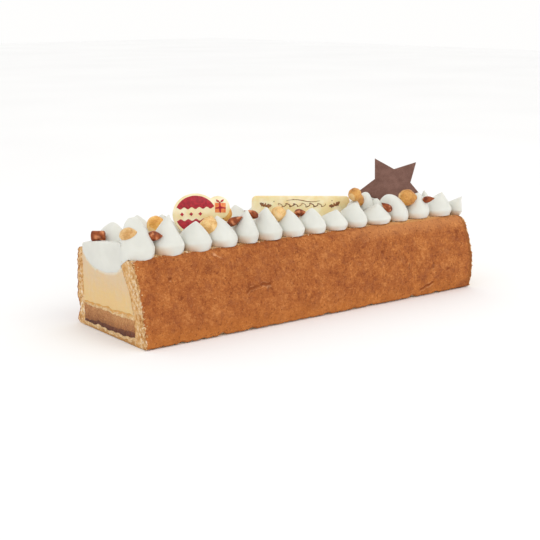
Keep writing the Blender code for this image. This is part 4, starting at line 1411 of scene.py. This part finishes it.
def make_crumbs(finish):
    """Loose crumbs along the near rim and on the cut ends of the walls."""
    chance = random.Random(7)
    centres = []
    for _ in range(RIM_CRUMBS):
        x = chance.uniform(-HALF_LENGTH + 2 * MM, HALF_LENGTH - 2 * MM)
        rim = near_rim(x)
        corner = blend(NEAR_RIM_ROUND, x)
        y = near_face(x, rim) + corner * chance.uniform(0.6, 1.3)
        centres.append((Vector((x, y, rim - 0.1 * MM)), chance.uniform(0.25, 0.6)))
    near_cut = -HALF_LENGTH + CRUMB_PROUD
    for _ in range(NEAR_CUT_CRUMBS):
        z = chance.uniform(1, 60) * MM
        edge = near_face(-HALF_LENGTH, z)
        y = edge + (chance.uniform(0, 1) ** 2 * 7 + 0.2) * MM
        spread = 5 * MM * chance.uniform(0, 1) ** 3 if y < edge + MM else 0
        centres.append((Vector((near_cut + spread, y, z)), chance.uniform(0.3, 0.8)))
    for _ in range(FAR_CUT_CRUMBS):
        z = chance.uniform(1, 56) * MM
        y = FAR_INNER + chance.uniform(2, 8) * MM
        centres.append((Vector((near_cut, y, z)), chance.uniform(0.3, 0.8)))
    for _ in range(END_CRUMBS):
        z = chance.uniform(1, 56) * MM
        y = near_face(HALF_LENGTH, z) + chance.uniform(0, 1) ** 2 * 6 * MM
        centres.append((Vector((-near_cut, y, z)), chance.uniform(0.3, 0.75)))
    points, faces = join(crumb_points(centre, size * MM, chance) for centre, size in centres)
    make_piece("loose_crumbs", points, faces, finish,
               readings={"depth": [2.0] * len(points)})


def make_floor():
    mesh = bpy.data.meshes.new("floor")
    corners = [(x, y, -FLOOR_DROP) for x, y in ((-4, -4), (4, -4), (4, 6), (-4, 6))]
    mesh.from_pydata(corners, [], [(0, 1, 2, 3)])
    mesh.materials.append(floor_finish())
    floor = bpy.data.objects.new("floor", mesh)
    bpy.context.scene.collection.objects.link(floor)


def soft_light(name, place, target, size, power):
    data = bpy.data.lights.new(name, "AREA")
    data.shape = "RECTANGLE"
    data.size, data.size_y = size
    data.energy = power
    light = bpy.data.objects.new(name, data)
    light.location = place
    light.rotation_euler = (Vector(target) - Vector(place)).to_track_quat("-Z", "Y").to_euler()
    bpy.context.scene.collection.objects.link(light)


def make_light():
    world = bpy.data.worlds.new("studio")
    world.use_nodes = True
    background = world.node_tree.nodes["Background"]
    background.inputs["Color"].default_value = (1.0, 0.995, 0.985, 1.0)
    background.inputs["Strength"].default_value = 1.0
    bpy.context.scene.world = world
    soft_light("key", (0.35, -1.3, 1.35), (0, 0, 0.03), (1.2, 0.9), 5.0)
    soft_light("fill", (-1.4, -0.5, 0.7), (0, 0, 0.05), (1.0, 1.0), 0.5)


def make_camera():
    """Camera at the photograph's place, an 80 mm lens on a 36 mm square."""
    yaw, pitch, roll = CAMERA_TURN
    forward = Vector((math.cos(yaw) * math.cos(pitch), math.sin(yaw) * math.cos(pitch),
                      -math.sin(pitch)))
    right = Vector((math.sin(yaw), -math.cos(yaw), 0))
    up = right.cross(forward)
    turned_right = right * math.cos(roll) + up * math.sin(roll)
    turned_up = up * math.cos(roll) - right * math.sin(roll)
    data = bpy.data.cameras.new("camera")
    data.lens = LENS
    data.sensor_width = SENSOR
    camera = bpy.data.objects.new("camera", data)
    matrix = Matrix((turned_right, turned_up, -forward)).transposed().to_4x4()
    matrix.translation = CAMERA_AT
    camera.matrix_world = matrix
    bpy.context.scene.collection.objects.link(camera)
    bpy.context.scene.camera = camera


def main():
    bpy.context.scene.view_settings.view_transform = "Standard"
    crust = crust_finish()
    cream = cream_finish()
    vanilla = mousse_finish("vanilla_mousse", (
        (0.20, tint(226, 192, 134)), (0.55, tint(220, 191, 150)), (0.95, tint(216, 193, 162))),
        (20 * MM, 56 * MM), smear=0.85)
    praline = mousse_finish("praline_mousse", (
        (0.10, tint(140, 88, 52)), (0.5, tint(172, 116, 68)), (0.95, tint(198, 146, 94))),
        (4 * MM, 20 * MM), 2.2, 0.65)
    chocolate = mousse_finish("dark_filling", (
        (0.10, tint(74, 32, 12)), (0.5, tint(100, 50, 24)), (0.95, tint(142, 84, 50))),
        (2 * MM, 11 * MM), 1.6, 0.5)
    make_walls(crust)
    base = pale_sponge_finish("base_sponge", tint(188, 134, 74), 0.85, False)
    divider = pale_sponge_finish("divider_sponge", tint(222, 164, 88), 0.9, True)
    make_layers((base, chocolate, praline, divider, vanilla))
    make_bed(cream)
    make_rows(cream)
    nut_tones = ((tint(228, 188, 130), tint(210, 162, 100), tint(186, 132, 68)),
                 (tint(244, 196, 112), tint(234, 176, 90), tint(208, 140, 56)),
                 (tint(242, 206, 144), tint(230, 188, 122), tint(206, 154, 82)),
                 (tint(218, 162, 86), tint(200, 140, 66), tint(168, 106, 40)))
    make_nuts([hazelnut_finish(f"roasted_hazelnut_{index + 1}", *tones)
               for index, tones in enumerate(nut_tones)])
    make_chips(chip_finish())
    make_plate("chocolate_star_plate", "chocolate_star", star_outline(), STAR_THICKNESS,
               STAR_EDGE, upright_frame(*STAR_PLACE), star_finish())
    make_plaques(white_chocolate_finish(), (
        print_finish("brown_print", (158, 106, 62), (116, 70, 38)),
        print_finish("red_print", (188, 34, 50), (150, 20, 38)),
        print_finish("orange_print", (244, 150, 84), (228, 112, 56)),
        print_finish("crimson_print", (200, 44, 48), (170, 26, 40))))
    make_crumbs(crust)
    make_floor()
    make_light()
    make_camera()


main()
